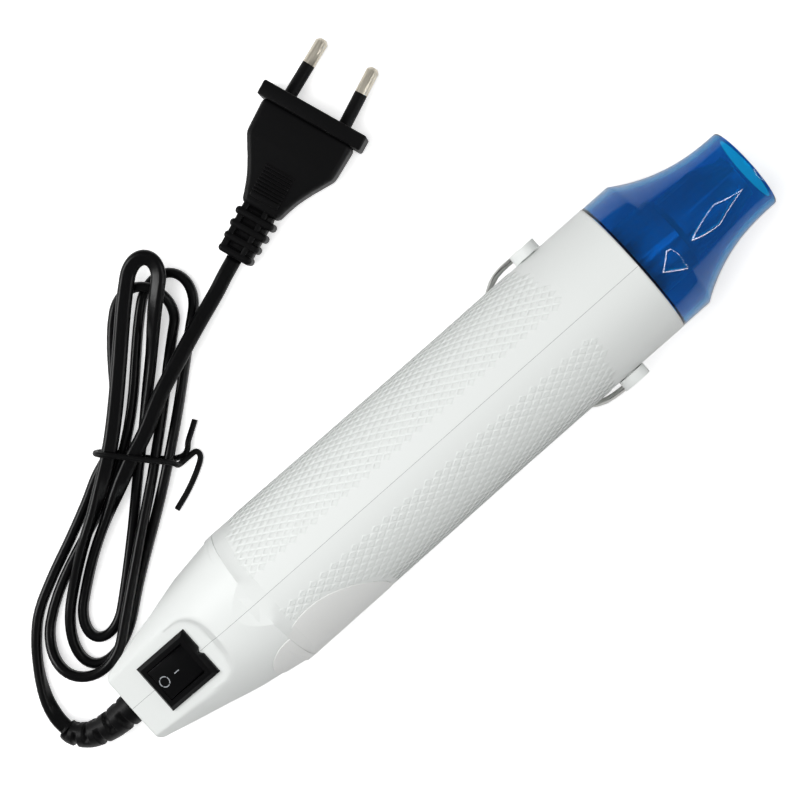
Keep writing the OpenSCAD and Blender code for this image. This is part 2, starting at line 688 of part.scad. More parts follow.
// Each end bend: distance from the waist, middle across, half width, depth, side it is entered on,
// heights and rolls from leg to leg
bends = [
  [41.5, 5.4, 9.2, 9.5, 1, [2.6, 2.8, 8.2, 2.6, 2.6], [90, 90, 90, 90, 90]],
  [-54, 6.7, 11.5, 14, -1, [7.6, 8.3, 7.6, 2.6, 2.6], [90, 90, 90, 90, 90]],
  [46, -0.9, 7.9, 10.5, 1, [2.6, 2.6, 2.6, 2.6, 2.6], [90, 90, 90, 90, 90]],
  [-46, 3.4, 9.4, 18.2, -1, [2.6, 2.6, 2.6, 4.2, 8.9], [90, 90, 90, 90, 80]],
  [53, 6.2, 4.7, 6.6, 1, [9.6, 11.6, 12.7, 12.3, 5.2], [0, 0, 20, 20, 60]],
  [-46, 3.4, 5.9, 10, -1, [2.6, 2.6, 2.6, 2.6, 6.4], [90, 90, 90, 90, 90]]];
key_at = [0, 1.5, 3, 6, 9, 10.5, 12];
end_slopes = [-0.1, -0.27];

function bend_in(k) = bends[k][1] + bends[k][4] * bends[k][2];
function bend_out(k) = bends[k][1] - bends[k][4] * bends[k][2];
function waist_slope(k) = k == 0 ? end_slopes[0] : k == len(bends) ? end_slopes[1]
  : (bend_in(k) - bend_out(k - 1)) / (bends[k][0] - bends[k - 1][0]);
function leg_v(v, slope, v_end, u, t) =
  v * (2 * t * t * t - 3 * t * t + 1) + slope * u * (t * t * t - 2 * t * t + t)
  + v_end * (3 * t * t - 2 * t * t * t);
function keyed(keys, t, j = 0) = t <= key_at[j + 1] || j == 5
  ? let (f = (t - key_at[j]) / (key_at[j + 1] - key_at[j]), e = (1 - cos(180 * f)) / 2)
    keys[j] * (1 - e) + keys[j + 1] * e
  : keyed(keys, t, j + 1);
// Step t runs from 0 at the waist, along a leg to 3, round the bend to 9, and back to the waist at 12
function hank_uv(k, t) = let (b = bends[k], u = b[0], a = (t - 3) * 30)
  t < 3 ? [u * t / 3, leg_v(waist[k][0], waist_slope(k), bend_in(k), u, t / 3)]
  : t <= 9 ? [u + sign(u) * b[3] * sin(a), b[1] + b[4] * b[2] * cos(a)]
  : [u * (12 - t) / 3, leg_v(waist[k + 1][0], waist_slope(k + 1), bend_out(k), u, (12 - t) / 3)];
function hank_point(k, t) = let (p = hank_uv(k, t))
  [hank_at[0] + p[0] * cos(hank_a) - p[1] * sin(hank_a),
    hank_at[1] + p[0] * sin(hank_a) + p[1] * cos(hank_a),
    keyed(concat([waist[k][1]], bends[k][5], [waist[k + 1][1]]), t),
    keyed(concat([waist[k][2]], bends[k][6], [waist[k + 1][2]]), t)];
last_bend = len(bends) - 1;
hank_line = concat([for (k = [0 : last_bend], t = [0 : 11]) hank_point(k, t)], [hank_point(last_bend, 12)]);

// Smooth curve through hand-chosen points
function curve(p, n) = let (q = concat([2 * p[0] - p[1]], p, [2 * p[len(p) - 1] - p[len(p) - 2]]))
  concat([for (i = [1 : len(p) - 1], j = [0 : n - 1]) let (t = j / n, a = q[i - 1], b = q[i], c = q[i + 1],
    d = q[i + 2])
    0.5 * (2 * b + (c - a) * t + (2 * a - 5 * b + 4 * c - d) * t * t + (3 * b - a - 3 * c + d) * t * t * t)],
    [p[len(p) - 1]]);
function places(line) = [for (p = line) [p[0], p[1], p[2]]];
function rolls(line) = [for (p = line) p[3]];

// Least gap of the hank to itself: distance of the middles less the half sizes towards each other
gap_steps = 3;
fine = concat([for (i = [0 : len(hank_line) - 2], j = [0 : gap_steps - 1])
  hank_line[i] + (hank_line[i + 1] - hank_line[i]) * j / gap_steps], [hank_line[len(hank_line) - 1]]);
function half_size(p, i, roll, d) = let (t = tangent(p, i), a = across(t), b = cross(t, a))
  norm([d * (cos(roll) * a + sin(roll) * b) * cord_w / 2, d * (cos(roll) * b - sin(roll) * a) * cord_t / 2]);
function hank_gap() = let (p = places(fine), r = rolls(fine), m = len(p)) min([
  for (i = [0 : m - 1 - 2 * gap_steps],
  j = [i + 2 * gap_steps + 1 : m - 1]) let (v = p[j] - p[i], far = norm(v))
    far > 9 || j - i < 5 * gap_steps ? 9
    : far - half_size(p, i, r[i], v / far) - half_size(p, j, r[j], v / far)]);

lead_curve = curve(concat(lead_line, [hank_line[0]]), 2);
run_curve = curve(concat([hank_line[len(hank_line) - 1]], run_line), 2);
lead_end = lead_curve[len(lead_curve) - 2];
boot_last = concat(boot_line[len(boot_line) - 2], [0]);
plug_on = [plug_at[0] + 3 * cos(plug_a), plug_at[1] + 3 * sin(plug_a), plug_z, 0];
// Neighbouring points at both ends give pieces that meet the same end plane
module cord_piece(line, n) {
  color("#141416") swept(places(line), cord_w, cord_t, rolls(line), n, 1, 1);
}
module cord_lead() { cord_piece(concat([boot_last], lead_curve, [hank_line[1]]), 8); }
module cord_plug_run() { cord_piece(concat([hank_line[len(hank_line) - 2]], run_curve, [plug_on]), 8); }
module cord_hank() {
  echo(least_gap_of_hank = hank_gap());
  cord_piece(concat([lead_end], hank_line, [run_curve[1]]), 6);
}

// Wire tie: up one side of the waist, over the cords, down and back beneath them, with two loose tails
tie_d = 1.8;
tie_low = tie_d / 2;
tie_top = 11.8;
tie_points = [[14, -14.6, 1.2], [10.4, -14.2, 1.8], [7.4, -14, 3.4], [4.6, -14, 2.6], [2.4, -12.6, 1.2],
  [1, -9, tie_low], [0, -1, tie_low], [0, 8, tie_low], [-0.4, 11.2, 1.6], [-0.6, 12.2, 3.8], [-0.6, 12.4, 7],
  [-0.6, 11.6, 10.2], [-0.4, 9.4, tie_top], [0, 4, tie_top], [0.2, -1, tie_top - 0.1], [0.4, -6, 10.2],
  [0.6, -9.6, 9], [0.4, -11.6, 7.8], [0, -12.4, 5.6], [0.4, -12.9, 3.6], [2.6, -14.6, 1.6], [4.6, -16.6, 1.2],
  [3, -18.2, 1.2], [-2, -17.6, 1.2], [-8, -16, 1.2], [-13.8, -13.8, 1.2]];
module cord_tie() {
  p = [for (q = tie_points) [hank_at[0] + q[0] * cos(hank_a) - q[1] * sin(hank_a),
    hank_at[1] + q[0] * sin(hank_a) + q[1] * cos(hank_a), q[2]]];
  color("#101012") round_tube(curve(p, 2), tie_d, 8);
}

// Plug, along its own axis from the cord's entry to the pins' face
plug_l = 50.5;
flange_l = 4.8;
lean_a = 2;
pin_r = 2;
shank_pin_r = 1.4;
tip_l = 8.5;
module on_plug(along) {
  translate([plug_at[0], plug_at[1], plug_z]) rotate([0, 0, plug_a]) translate([along, 0, 0]) children();
}
plug_side = [[17.5, 6.4], [20.5, 7.4], [23.5, 8.6], [28.5, 11.1], [31.5, 12.9], [33.5, 14.1], [35, 14.7],
  [plug_l - flange_l, 15.1]];
module plug_body() {
  color("#161618") difference() {
    union() {
      on_plug(plug_l - flange_l) translate([0, -plug_w / 2, -plug_t / 2]) cube([flange_l, plug_w, plug_t]);
      intersection() {
        on_plug(0) translate([0, 0, -plug_t / 2]) linear_extrude(height = plug_t)
          polygon(concat(plug_side,
            [for (i = [len(plug_side) - 1 : -1 : 0]) [plug_side[i][0], -plug_side[i][1]]]));
        on_plug(0) translate([0, plug_w, 0]) rotate([90, 0, 0]) linear_extrude(height = 2 * plug_w)
          polygon([[17, -5.6], [34, -6.4], [plug_l, -6.4], [plug_l, 6.4], [34, 6.4], [17, 5.6]]);
      }
      on_plug(1.6) rotate([0, 90, 0]) cylinder(h = 16, r1 = 4.4, r2 = 5.6);
      for (i = [0 : 3]) on_plug(i * 4.2) rotate([0, 90, 0]) cylinder(h = 2.2, r = 5.6 + i * 0.1);
    }
    for (y = [-1, 1]) on_plug(plug_l) translate([0, y * pin_gap / 2, 0]) rotate([0, 90, -y * lean_a])
      translate([0, 0, -10]) cylinder(h = 12, r = shank_pin_r + 0.02);
  }
}

module plug_pins() {
  color("silver") for (y = [-1, 1]) on_plug(plug_l) translate([0, y * pin_gap / 2, 0])
    rotate([0, 90, -y * lean_a]) {
      translate([0, 0, -9.5]) cylinder(h = pin_l - tip_l + 9.6, r = shank_pin_r);
      translate([0, 0, pin_l - tip_l]) cylinder(h = tip_l - 1, r = pin_r);
      translate([0, 0, pin_l - 1]) cylinder(h = 1, r1 = pin_r, r2 = pin_r - 0.9);
    }
}

module plug_pin_sleeves() {
  color("#161618") for (y = [-1, 1]) on_plug(plug_l) translate([0, y * pin_gap / 2, 0])
    rotate([0, 90, -y * lean_a]) difference() {
      translate([0, 0, 0.1]) cylinder(h = pin_l - tip_l - 0.1, r = pin_r);
      translate([0, 0, -over]) cylinder(h = pin_l - tip_l + 2 * over, r = shank_pin_r + 0.02);
    }
}

left_shell();
right_shell();
nozzle_guard();
heat_nozzle();
front_ring();
mica_sleeve();
heater_former();
heater_coil();
thermal_cutout();
fan_housing();
fan();
motor_shaft();
motor_can();
motor_bracket();
motor_screws();
circuit_board();
board_diodes();
board_capacitor();
switch_housing();
switch_rocker();
switch_terminals();
inner_wires();
inner_cord_end();
cord_clamp();
clamp_screws();
shell_screws();
stand_wire();
stand_button_left();
stand_button_right();
rating_label();
cord_boot();
cord_lead();
cord_hank();
cord_plug_run();
cord_tie();
plug_body();
plug_pins();
plug_pin_sleeves();
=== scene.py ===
# Embossing heat tool lying on white, with its bundled flat cord and its plug. Metres, +X to the nozzle, +Z up.
import bpy
from math import sin, cos, tan, pi, radians, degrees, atan2
from mathutils import Vector, Matrix


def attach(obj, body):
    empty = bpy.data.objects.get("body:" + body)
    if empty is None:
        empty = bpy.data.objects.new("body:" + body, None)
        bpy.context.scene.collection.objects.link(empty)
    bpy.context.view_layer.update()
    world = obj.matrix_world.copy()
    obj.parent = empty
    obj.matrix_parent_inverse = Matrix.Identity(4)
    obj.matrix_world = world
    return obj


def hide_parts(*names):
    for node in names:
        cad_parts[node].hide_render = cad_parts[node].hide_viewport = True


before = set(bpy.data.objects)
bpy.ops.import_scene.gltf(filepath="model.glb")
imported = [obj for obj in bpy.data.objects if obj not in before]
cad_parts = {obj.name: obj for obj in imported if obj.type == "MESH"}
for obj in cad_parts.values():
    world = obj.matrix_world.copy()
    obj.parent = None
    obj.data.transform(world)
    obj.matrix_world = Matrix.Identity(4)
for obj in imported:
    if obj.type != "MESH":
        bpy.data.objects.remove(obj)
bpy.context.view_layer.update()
mm = 0.001


# ---- Small helpers
def linear(hexColour, alpha=1.0):
    parts = [int(hexColour[i:i + 2], 16) / 255 for i in (1, 3, 5)]
    return tuple(c / 12.92 if c <= 0.04045 else ((c + 0.055) / 1.055) ** 2.4 for c in parts) + (alpha,)


def addNode(tree, kind, inputs=None, **settings):
    node = tree.nodes.new(kind)
    for name, value in settings.items():
        setattr(node, name, value)
    for name, value in (inputs or {}).items():
        if isinstance(value, bpy.types.NodeSocket):
            tree.links.new(value, node.inputs[name])
        else:
            node.inputs[name].default_value = value
    return node


def startMaterial(name, colour, roughness, metallic=0.0, **more):
    material = bpy.data.materials.new(name)
    material.use_nodes = True
    tree = material.node_tree
    shader = tree.nodes["Principled BSDF"]
    shader.inputs["Base Color"].default_value = linear(colour)
    shader.inputs["Roughness"].default_value = roughness
    shader.inputs["Metallic"].default_value = metallic
    for socket, value in more.items():
        shader.inputs[socket].default_value = value
    material.diffuse_color = linear(colour)
    coords = addNode(tree, "ShaderNodeTexCoord").outputs["Object"]
    return material, tree, shader, coords


def deselectAll():
    if bpy.context.object and bpy.context.object.mode != "OBJECT":
        bpy.ops.object.mode_set(mode="OBJECT")
    bpy.ops.object.select_all(action="DESELECT")


def selectOnly(piece):
    deselectAll()
    bpy.context.view_layer.objects.active = piece
    piece.select_set(True)


def setMaterial(piece, material):
    piece.data.materials.clear()
    piece.data.materials.append(material)


def makeMesh(name, points, faces, material):
    mesh = bpy.data.meshes.new(name)
    mesh.from_pydata([tuple(p) for p in points], [], faces)
    mesh.update()
    piece = bpy.data.objects.new(name, mesh)
    bpy.context.scene.collection.objects.link(piece)
    setMaterial(piece, material)
    mesh.polygons.foreach_set("use_smooth", [True] * len(mesh.polygons))
    return piece


def applyModifier(piece, kind, **settings):
    selectOnly(piece)
    modifier = piece.modifiers.new(kind.title(), kind)
    for name, value in settings.items():
        setattr(modifier, name, value)
    bpy.ops.object.modifier_apply(modifier=modifier.name)


def copyOfNode(node, name, material):
    # A merged copy of a CAD piece, with its flat faces whole again
    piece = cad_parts[node].copy()
    piece.data = piece.data.copy()
    piece.name = name
    piece.parent = None
    bpy.context.scene.collection.objects.link(piece)
    selectOnly(piece)
    piece.hide_render = False
    bpy.ops.object.mode_set(mode="EDIT")
    bpy.ops.mesh.select_all(action="SELECT")
    bpy.ops.mesh.remove_doubles(threshold=0.002 * mm)
    bpy.ops.mesh.dissolve_limited(angle_limit=radians(0.5))
    bpy.ops.object.mode_set(mode="OBJECT")
    setMaterial(piece, material)
    return piece


def smoothByAngle(piece, degrees):
    selectOnly(piece)
    bpy.ops.object.shade_smooth_by_angle(angle=radians(degrees))


# ---- Camera, floor and light
view = {
    "place": (0.03008, 0.01775, 0.5966),
    "forward": (-0.0519, -0.0055, -0.9986),
    "up": (0.6621, 0.7485, -0.0385),
    "lens": 88.45,
    "worldGlow": 0.13,  # what the world gives the object; the camera sees it white
    "floorSize": 6, "floorDrop": 0.4, "floorLift": 0.55,
}
back = -Vector(view["forward"]).normalized()
right = Vector(view["up"]).cross(back).normalized()
up = back.cross(right)
turn = Matrix((right, up, back)).transposed().to_4x4()
cameraData = bpy.data.cameras.new("camera")
cameraData.lens = view["lens"]
cameraData.sensor_width = 36
cameraData.clip_start = 0.01
camera = bpy.data.objects.new("camera", cameraData)
camera.matrix_world = Matrix.Translation(view["place"]) @ turn
bpy.context.scene.collection.objects.link(camera)
bpy.context.scene.camera = camera
bpy.context.scene.view_settings.view_transform = "Standard"


def addSoftbox(name, place, aim, size, watts):
    light = bpy.data.lights.new(name, "AREA")
    light.shape = "RECTANGLE"
    light.size, light.size_y = size
    light.energy = watts
    lamp = bpy.data.objects.new(name, light)
    lamp.location = place
    lamp.rotation_euler = (Vector(aim) - Vector(place)).to_track_quat("-Z", "Y").to_euler()
    bpy.context.scene.collection.objects.link(lamp)
    return lamp


# In the picture, right is 0.75 X - 0.66 Y and up is 0.66 X + 0.75 Y
lightLook = {
    "aim": (0, 0, 0.02),
    # Place, width and length, watts, and whether glossy things show it
    "boxes": {"softboxTop": ((-0.16, 0.12, 0.80), (0.50, 0.40), 4.5, False),
        "softboxLeft": ((-0.50, 0.50, 0.40), (0.28, 0.28), 1.75, True),
        "softboxRight": ((0.55, -0.40, 0.55), (0.35, 0.45), 0.15, False)},
    # Four thin strips draw the right softbox's frame in glossy things
    "frameAt": (0.55, -0.40, 0.55), "frameWide": 0.36, "frameLong": 0.44, "stripWide": 0.014, "stripWatts": 0.3,
}
for name, (place, size, watts, shown) in lightLook["boxes"].items():
    softbox = addSoftbox(name, place, lightLook["aim"], size, watts)
    softbox.visible_glossy = shown
frameAt = Vector(lightLook["frameAt"])
frameTurn = Matrix.Translation(frameAt) @ (-frameAt).to_track_quat("-Z", "Y").to_matrix().to_4x4()
acrossBy, alongBy, thin = lightLook["frameWide"] / 2, lightLook["frameLong"] / 2, lightLook["stripWide"]
for name, across, along, size in (("stripFront", 0, alongBy, (0.36, thin)), ("stripBack", 0, -alongBy, (0.36, thin)),
        ("stripLeft", -acrossBy, 0, (thin, 0.45)), ("stripRight", acrossBy, 0, (thin, 0.45))):
    strip = addSoftbox(name, (0, 0, 1), (0, 0, 0), size, lightLook["stripWatts"])
    strip.matrix_world = frameTurn @ Matrix.Translation((across, along, 0))

world = bpy.data.worlds.new("studio")
bpy.context.scene.world = world
world.use_nodes = True
sky = world.node_tree
sky.nodes.clear()
path = addNode(sky, "ShaderNodeLightPath")
seen = addNode(sky, "ShaderNodeMath", {0: path.outputs["Is Camera Ray"], 1: path.outputs["Is Transmission Ray"]},
    operation="MAXIMUM")
seen = addNode(sky, "ShaderNodeMath", {0: seen.outputs[0], 1: 1 - view["worldGlow"]}, operation="MULTIPLY")
glow = addNode(sky, "ShaderNodeMath", {0: seen.outputs[0], 1: view["worldGlow"]}, operation="ADD")
shine = addNode(sky, "ShaderNodeBackground", {"Color": (1, 1, 1, 1), "Strength": glow.outputs[0]})
addNode(sky, "ShaderNodeOutputWorld", {"Surface": shine.outputs[0]})

paper, tree, shader, coords = startMaterial("whiteBackdropPaper", "#F4F4F4", 0.9)
path = addNode(tree, "ShaderNodeLightPath")
seen = addNode(tree, "ShaderNodeMath", {0: path.outputs["Is Camera Ray"], 1: path.outputs["Is Transmission Ray"]},
    operation="MAXIMUM")
lift = addNode(tree, "ShaderNodeMath", {0: seen.outputs[0], 1: view["floorLift"]}, operation="MULTIPLY")
tree.links.new(lift.outputs[0], shader.inputs["Emission Strength"])
shader.inputs["Emission Color"].default_value = (1, 1, 1, 1)
deselectAll()
bpy.ops.mesh.primitive_plane_add(size=view["floorSize"], location=(0, 0, -view["floorDrop"] * mm))
floor = bpy.context.object
floor.name = "floor"
setMaterial(floor, paper)
print("camera, floor and light are set")


# ---- Materials
def addGrain(tree, shader, coords, perMetre, depth, detail=2.0, normal=None):
    # Fine moulding texture, so that a smooth face isn't perfectly smooth
    grain = addNode(tree, "ShaderNodeTexNoise", {"Vector": coords, "Scale": perMetre, "Detail": detail})
    inputs = {"Height": grain.outputs[0], "Strength": 0.35, "Distance": depth}
    if normal:
        inputs["Normal"] = normal
    bump = addNode(tree, "ShaderNodeBump", inputs)
    tree.links.new(bump.outputs[0], shader.inputs["Normal"])


# ABS, injection moulded with a satin finish: bright white, soft wide highlights, edges a little rounded
whiteAbs, tree, shader, coords = startMaterial("satinWhiteAbs", "#ECEFED", 0.42, IOR=1.53)
parts = addNode(tree, "ShaderNodeSeparateXYZ", {"Vector": coords})
# A thin grey line along the seam between the shells is painted shade, standing in for the shadow in the gap between
# them
fromSeam = addNode(tree, "ShaderNodeMath", {0: parts.outputs["Y"]}, operation="ABSOLUTE")
seam = addNode(tree, "ShaderNodeMapRange", {"Value": fromSeam.outputs[0], "From Min": 0.03 * mm,
    "From Max": 0.07 * mm, "To Min": 0.0, "To Max": 1.0})
seamGapShade = addNode(tree, "ShaderNodeMix", {"Factor": seam.outputs[0], "A": linear("#8A8E8E"), "B": linear("#ECEFED")},
    data_type="RGBA")
tree.links.new(seamGapShade.outputs["Result"], shader.inputs["Base Color"])
# Edges are softened, widely round the switch face; near the flare's end they stay as they are
behindFlare = addNode(tree, "ShaderNodeMapRange", {"Value": parts.outputs["X"], "From Min": -74 * mm,
    "From Max": -69 * mm, "To Min": 1.0, "To Max": 0.0})
beforeFlare = addNode(tree, "ShaderNodeMapRange", {"Value": parts.outputs["X"], "From Min": -64 * mm,
    "From Max": -60 * mm, "To Min": 0.0, "To Max": 1.0})
awayFromFlare = addNode(tree, "ShaderNodeMath", {0: behindFlare.outputs[0], 1: beforeFlare.outputs[0]},
    operation="MAXIMUM")
onTop = addNode(tree, "ShaderNodeMapRange", {"Value": parts.outputs["Z"], "From Min": 28 * mm, "From Max": 31 * mm})
nearFace = addNode(tree, "ShaderNodeMapRange", {"Value": parts.outputs["X"], "From Min": -84 * mm,
    "From Max": -76 * mm, "To Min": 1.0, "To Max": 0.0})
nearFace = addNode(tree, "ShaderNodeMath", {0: nearFace.outputs[0], 1: onTop.outputs[0]}, operation="MULTIPLY")
rounding = addNode(tree, "ShaderNodeMapRange", {"Value": nearFace.outputs[0], "To Min": 1.2 * mm, "To Max": 2.6 * mm})
rounding = addNode(tree, "ShaderNodeMath", {0: rounding.outputs[0], 1: awayFromFlare.outputs[0]},
    operation="MULTIPLY")
rounding = addNode(tree, "ShaderNodeMath", {0: rounding.outputs[0], 1: fromSeam.outputs[0]}, operation="MINIMUM")
soften = addNode(tree, "ShaderNodeBevel", {"Radius": rounding.outputs[0]}, samples=12)
addGrain(tree, shader, coords, 2600, 0.00002, normal=soften.outputs[0])

# The same ABS on small pieces, with no softening of their edges
whiteTrim, tree, shader, coords = startMaterial("mouldedWhiteAbs", "#ECEFED", 0.38, IOR=1.53)
addGrain(tree, shader, coords, 2600, 0.00002)

# Polycarbonate, clear blue and polished in the mould: deep colour, sharp reflections
bluePc, tree, shader, coords = startMaterial("clearBluePolycarbonate", "#08A4E0", 0.04, IOR=1.52)
shader.inputs["Specular IOR Level"].default_value = 0.2
shader.inputs["Transmission Weight"].default_value = 1.0
dye = addNode(tree, "ShaderNodeVolumeAbsorption", {"Color": (0.25, 0.70, 0.76, 1), "Density": 700.0})
tree.links.new(dye.outputs[0], tree.nodes["Material Output"].inputs["Volume"])

# Nylon, moulded black with a fine spark-eroded texture
blackNylon, tree, shader, coords = startMaterial("satinBlackNylon", "#060607", 0.36, IOR=1.53)
shader.inputs["Specular IOR Level"].default_value = 0.24
addGrain(tree, shader, coords, 3200, 0.00003)

# PVC, extruded black sheath of the flat cord: smooth, half gloss, with faint long ripples
blackPvc, tree, shader, coords = startMaterial("extrudedBlackPvc", "#050506", 0.30, IOR=1.54)
shader.inputs["Specular IOR Level"].default_value = 0.3
addGrain(tree, shader, coords, 700, 0.00005)

# PVC, moulded on the plug and the boot: fine matt texture
mouldedPvc, tree, shader, coords = startMaterial("mouldedBlackPvc", "#070708", 0.46, IOR=1.54)
shader.inputs["Specular IOR Level"].default_value = 0.26
addGrain(tree, shader, coords, 1800, 0.00006)

# Brass, turned and nickel plated: pale and warm, half bright
nickel, tree, shader, coords = startMaterial("nickelPlatedBrass", "#F4ECDA", 0.3, 0.7)
addGrain(tree, shader, coords, 1500, 0.00001)

# Steel, drawn stainless sheet: pale grey with a wide soft sheen, as seen through the blue guard; its colour is made
# paler and its metal partly diffuse as painted light, standing in for lamp light that the guard keeps from the nozzle
steel, tree, shader, coords = startMaterial("drawnStainlessSteel", "#E6E7E8", 0.5, 0.75)
addGrain(tree, shader, coords, 900, 0.00002)

# Steel, spring wire, bright plated: sharp dark and light lines along it
brightWire, tree, shader, coords = startMaterial("brightSpringWire", "#C9C9C6", 0.15, 1.0)
addGrain(tree, shader, coords, 1200, 0.00001)

# Foil, satin label with nothing on it: a touch greyer than the plastic
foil, tree, shader, coords = startMaterial("satinLabelFoil", "#EDEEEC", 0.38, IOR=1.5)
addGrain(tree, shader, coords, 2500, 0.00001)

# Paint, pad printed marks: dull off-white
markInk, tree, shader, coords = startMaterial("offWhitePrint", "#A9AEB2", 0.5)
addGrain(tree, shader, coords, 3000, 0.00001)


# ---- Cord
cordLook = {
    "width": 4.8, "thickness": 3.0, "sides": 20,
    "boot": [[-118.8, 0, 10.5], [-122, 0, 10.4], [-126, 0, 9.8], [-130, 0.2, 8.9], [-134, 0.9, 7.8],
        [-137.6, 2.1, 6.7], [-140.4, 4.2, 5.7], [-142, 6.3, 5], [-142.4, 8, 4.6]],
    "lead": [[-142.4, 8, 4.6, 0], [-142.6, 13, 4.2, 20], [-141.2, 19.5, 3.4, 60], [-137.4, 27.3, 2.6, 90],
        [-131.6, 34.8, 2.6, 90], [-125, 40.6, 2.6, 90], [-115, 45.7, 2.6, 90], [-103.6, 50.5, 2.6, 90],
        [-92.4, 55.5, 3, 90], [-84.4, 59.4, 4, 90]],
    "run": [[-64, 59, 9, 0], [-53.3, 64.3, 8.8, 0], [-42, 68.6, 8.2, 0], [-31.4, 72.5, 7.2, 0],
        [-21, 76, 6.6, 0], [-15, 78.25, 6.85, 0], [-9.6, 80.1, 6.85, 0]],
    "hankAt": (-71.4, 55.1), "hankTurn": 38.6,
    # Each pass through the waist: place across, height and roll
    "waist": [[8.6, 4.6, 90], [-5.2, 4.6, 90], [4.8, 4.6, 90], [-9.2, 4.6, 90], [8.1, 9, 0], [-0.6, 4.6, 90],
        [1.1, 9, 0]],
    # Each end bend: distance, middle, half width, depth, side, heights and rolls from leg to leg
    "bends": [
        [41.5, 5.4, 9.2, 9.5, 1, [2.6, 2.8, 8.2, 2.6, 2.6], [90, 90, 90, 90, 90]],
        [-54, 6.7, 11.5, 14, -1, [7.6, 8.3, 7.6, 2.6, 2.6], [90, 90, 90, 90, 90]],
        [46, -0.9, 7.9, 10.5, 1, [2.6, 2.6, 2.6, 2.6, 2.6], [90, 90, 90, 90, 90]],
        [-46, 3.4, 9.4, 18.2, -1, [2.6, 2.6, 2.6, 4.2, 8.9], [90, 90, 90, 90, 80]],
        [53, 6.2, 4.7, 6.6, 1, [9.6, 11.6, 12.7, 12.3, 5.2], [0, 0, 20, 20, 60]],
        [-46, 3.4, 5.9, 10, -1, [2.6, 2.6, 2.6, 2.6, 6.4], [90, 90, 90, 90, 90]]],
    "keyAt": [0, 1.5, 3, 6, 9, 10.5, 12],
    "endSlopes": (-0.1, -0.27),
}


def smoothLine(points, steps):
    # Passes through each point, with its roll as a fourth number
    p = [[2 * a - b for a, b in zip(points[0], points[1])]] + points
    p.append([2 * a - b for a, b in zip(points[-1], points[-2])])
    line = []
    for i in range(1, len(points)):
        for j in range(steps):
            t = j / steps
            line.append([0.5 * (2 * b + (c - a) * t + (2 * a - 5 * b + 4 * c - d) * t * t
                + (3 * b - a - 3 * c + d) * t ** 3) for a, b, c, d in zip(p[i - 1], p[i], p[i + 1], p[i + 2])])
    return line + [list(points[-1])]


def hankPoint(k, t):
    u, middle, half, depth, side, heights, turns = cordLook["bends"][k]
    waist, bends = cordLook["waist"], cordLook["bends"]

    def slope(i):
        if i == 0 or i == len(bends):
            return cordLook["endSlopes"][0 if i == 0 else 1]
        a, b = bends[i - 1], bends[i]
        return ((b[1] + b[4] * b[2]) - (a[1] - a[4] * a[2])) / (b[0] - a[0])

    def leg(v, m, vEnd, f):
        ease = 3 * f ** 2 - 2 * f ** 3
        return v * (1 - ease) + m * u * (f ** 3 - 2 * f ** 2 + f) + vEnd * ease

    def keyed(keys):
        at = cordLook["keyAt"]
        j = min(5, max(i for i in range(6) if at[i] <= t))
        f = (1 - cos(pi * (t - at[j]) / (at[j + 1] - at[j]))) / 2
        return keys[j] * (1 - f) + keys[j + 1] * f

    if t < 3:
        p = (u * t / 3, leg(waist[k][0], slope(k), middle + side * half, t / 3))
    elif t <= 9:
        a = radians((t - 3) * 30)
        p = (u + (depth if u > 0 else -depth) * sin(a), middle + side * half * cos(a))
    else:
        p = (u * (12 - t) / 3, leg(waist[k + 1][0], slope(k + 1), middle - side * half, (12 - t) / 3))
    z = keyed([waist[k][1]] + heights + [waist[k + 1][1]])
    roll = keyed([waist[k][2]] + turns + [waist[k + 1][2]])
    return onHank(p) + [z, roll]


def onHank(p):
    a = radians(cordLook["hankTurn"])
    x, y = cordLook["hankAt"]
    return [x + p[0] * cos(a) - p[1] * sin(a), y + p[0] * sin(a) + p[1] * cos(a)]


def sweep(name, line, rolls, outline, material, closed=True):
    # outline(i) gives the section's points as (across, up) in metres
    points, faces = [], []
    for i, centre in enumerate(line):
        along = (line[min(i + 1, len(line) - 1)] - line[max(i - 1, 0)]).normalized()
        side = Vector((0, 0, 1)).cross(along).normalized()
        rise = along.cross(side)
        c, s = cos(radians(rolls[i])), sin(radians(rolls[i]))
        wide, high = side * c + rise * s, rise * c - side * s
        ring = [centre + wide * a + high * b for a, b in outline(i)]
        n = len(ring)
        points += ring
        if i:
            faces += [(len(points) - 2 * n + k, len(points) - 2 * n + (k + 1) % n, len(points) - n + (k + 1) % n,
                len(points) - n + k) for k in range(n)]
    faces.append(tuple(range(n - 1, -1, -1)))
    faces.append(tuple(range(len(points) - n, len(points))))
    return makeMesh(name, points, faces, material)


def flatSection(width, thickness, sides):
    # Two round cores side by side under one sheath: round edges, with a faint valley between
    r = thickness / 2
    half = []
    for k in range(sides // 2 + 1):
        a = -pi / 2 + pi * k / (sides // 2)
        half.append((width / 2 - r + r * cos(a), r * sin(a)))
    ring = half + [(0, r * 0.93)] + [(-x, -y) for x, y in half] + [(0, -r * 0.93)]
    return ring


hank = [hankPoint(k, t / 4) for k in range(len(cordLook["bends"])) for t in range(48)]
hank.append(hankPoint(len(cordLook["bends"]) - 1, 12))
lead = smoothLine(cordLook["lead"] + [hank[0]], 4)
run = smoothLine([hank[-1]] + cordLook["run"], 4)
route = [[-142.0, 6.3, 5, 0]] + lead[:-1] + hank + run[1:]
cordLine = [Vector(p[:3]) * mm for p in route]
cordRolls = [p[3] for p in route]
section = flatSection(cordLook["width"] * mm, cordLook["thickness"] * mm, cordLook["sides"])
cord = sweep("flatCord", cordLine, cordRolls, lambda i: section, blackPvc)
cordLength = sum((b - a).length for a, b in zip(cordLine, cordLine[1:]))
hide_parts("cord_lead", "cord_hank", "cord_plug_run")
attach(cord, "housing")

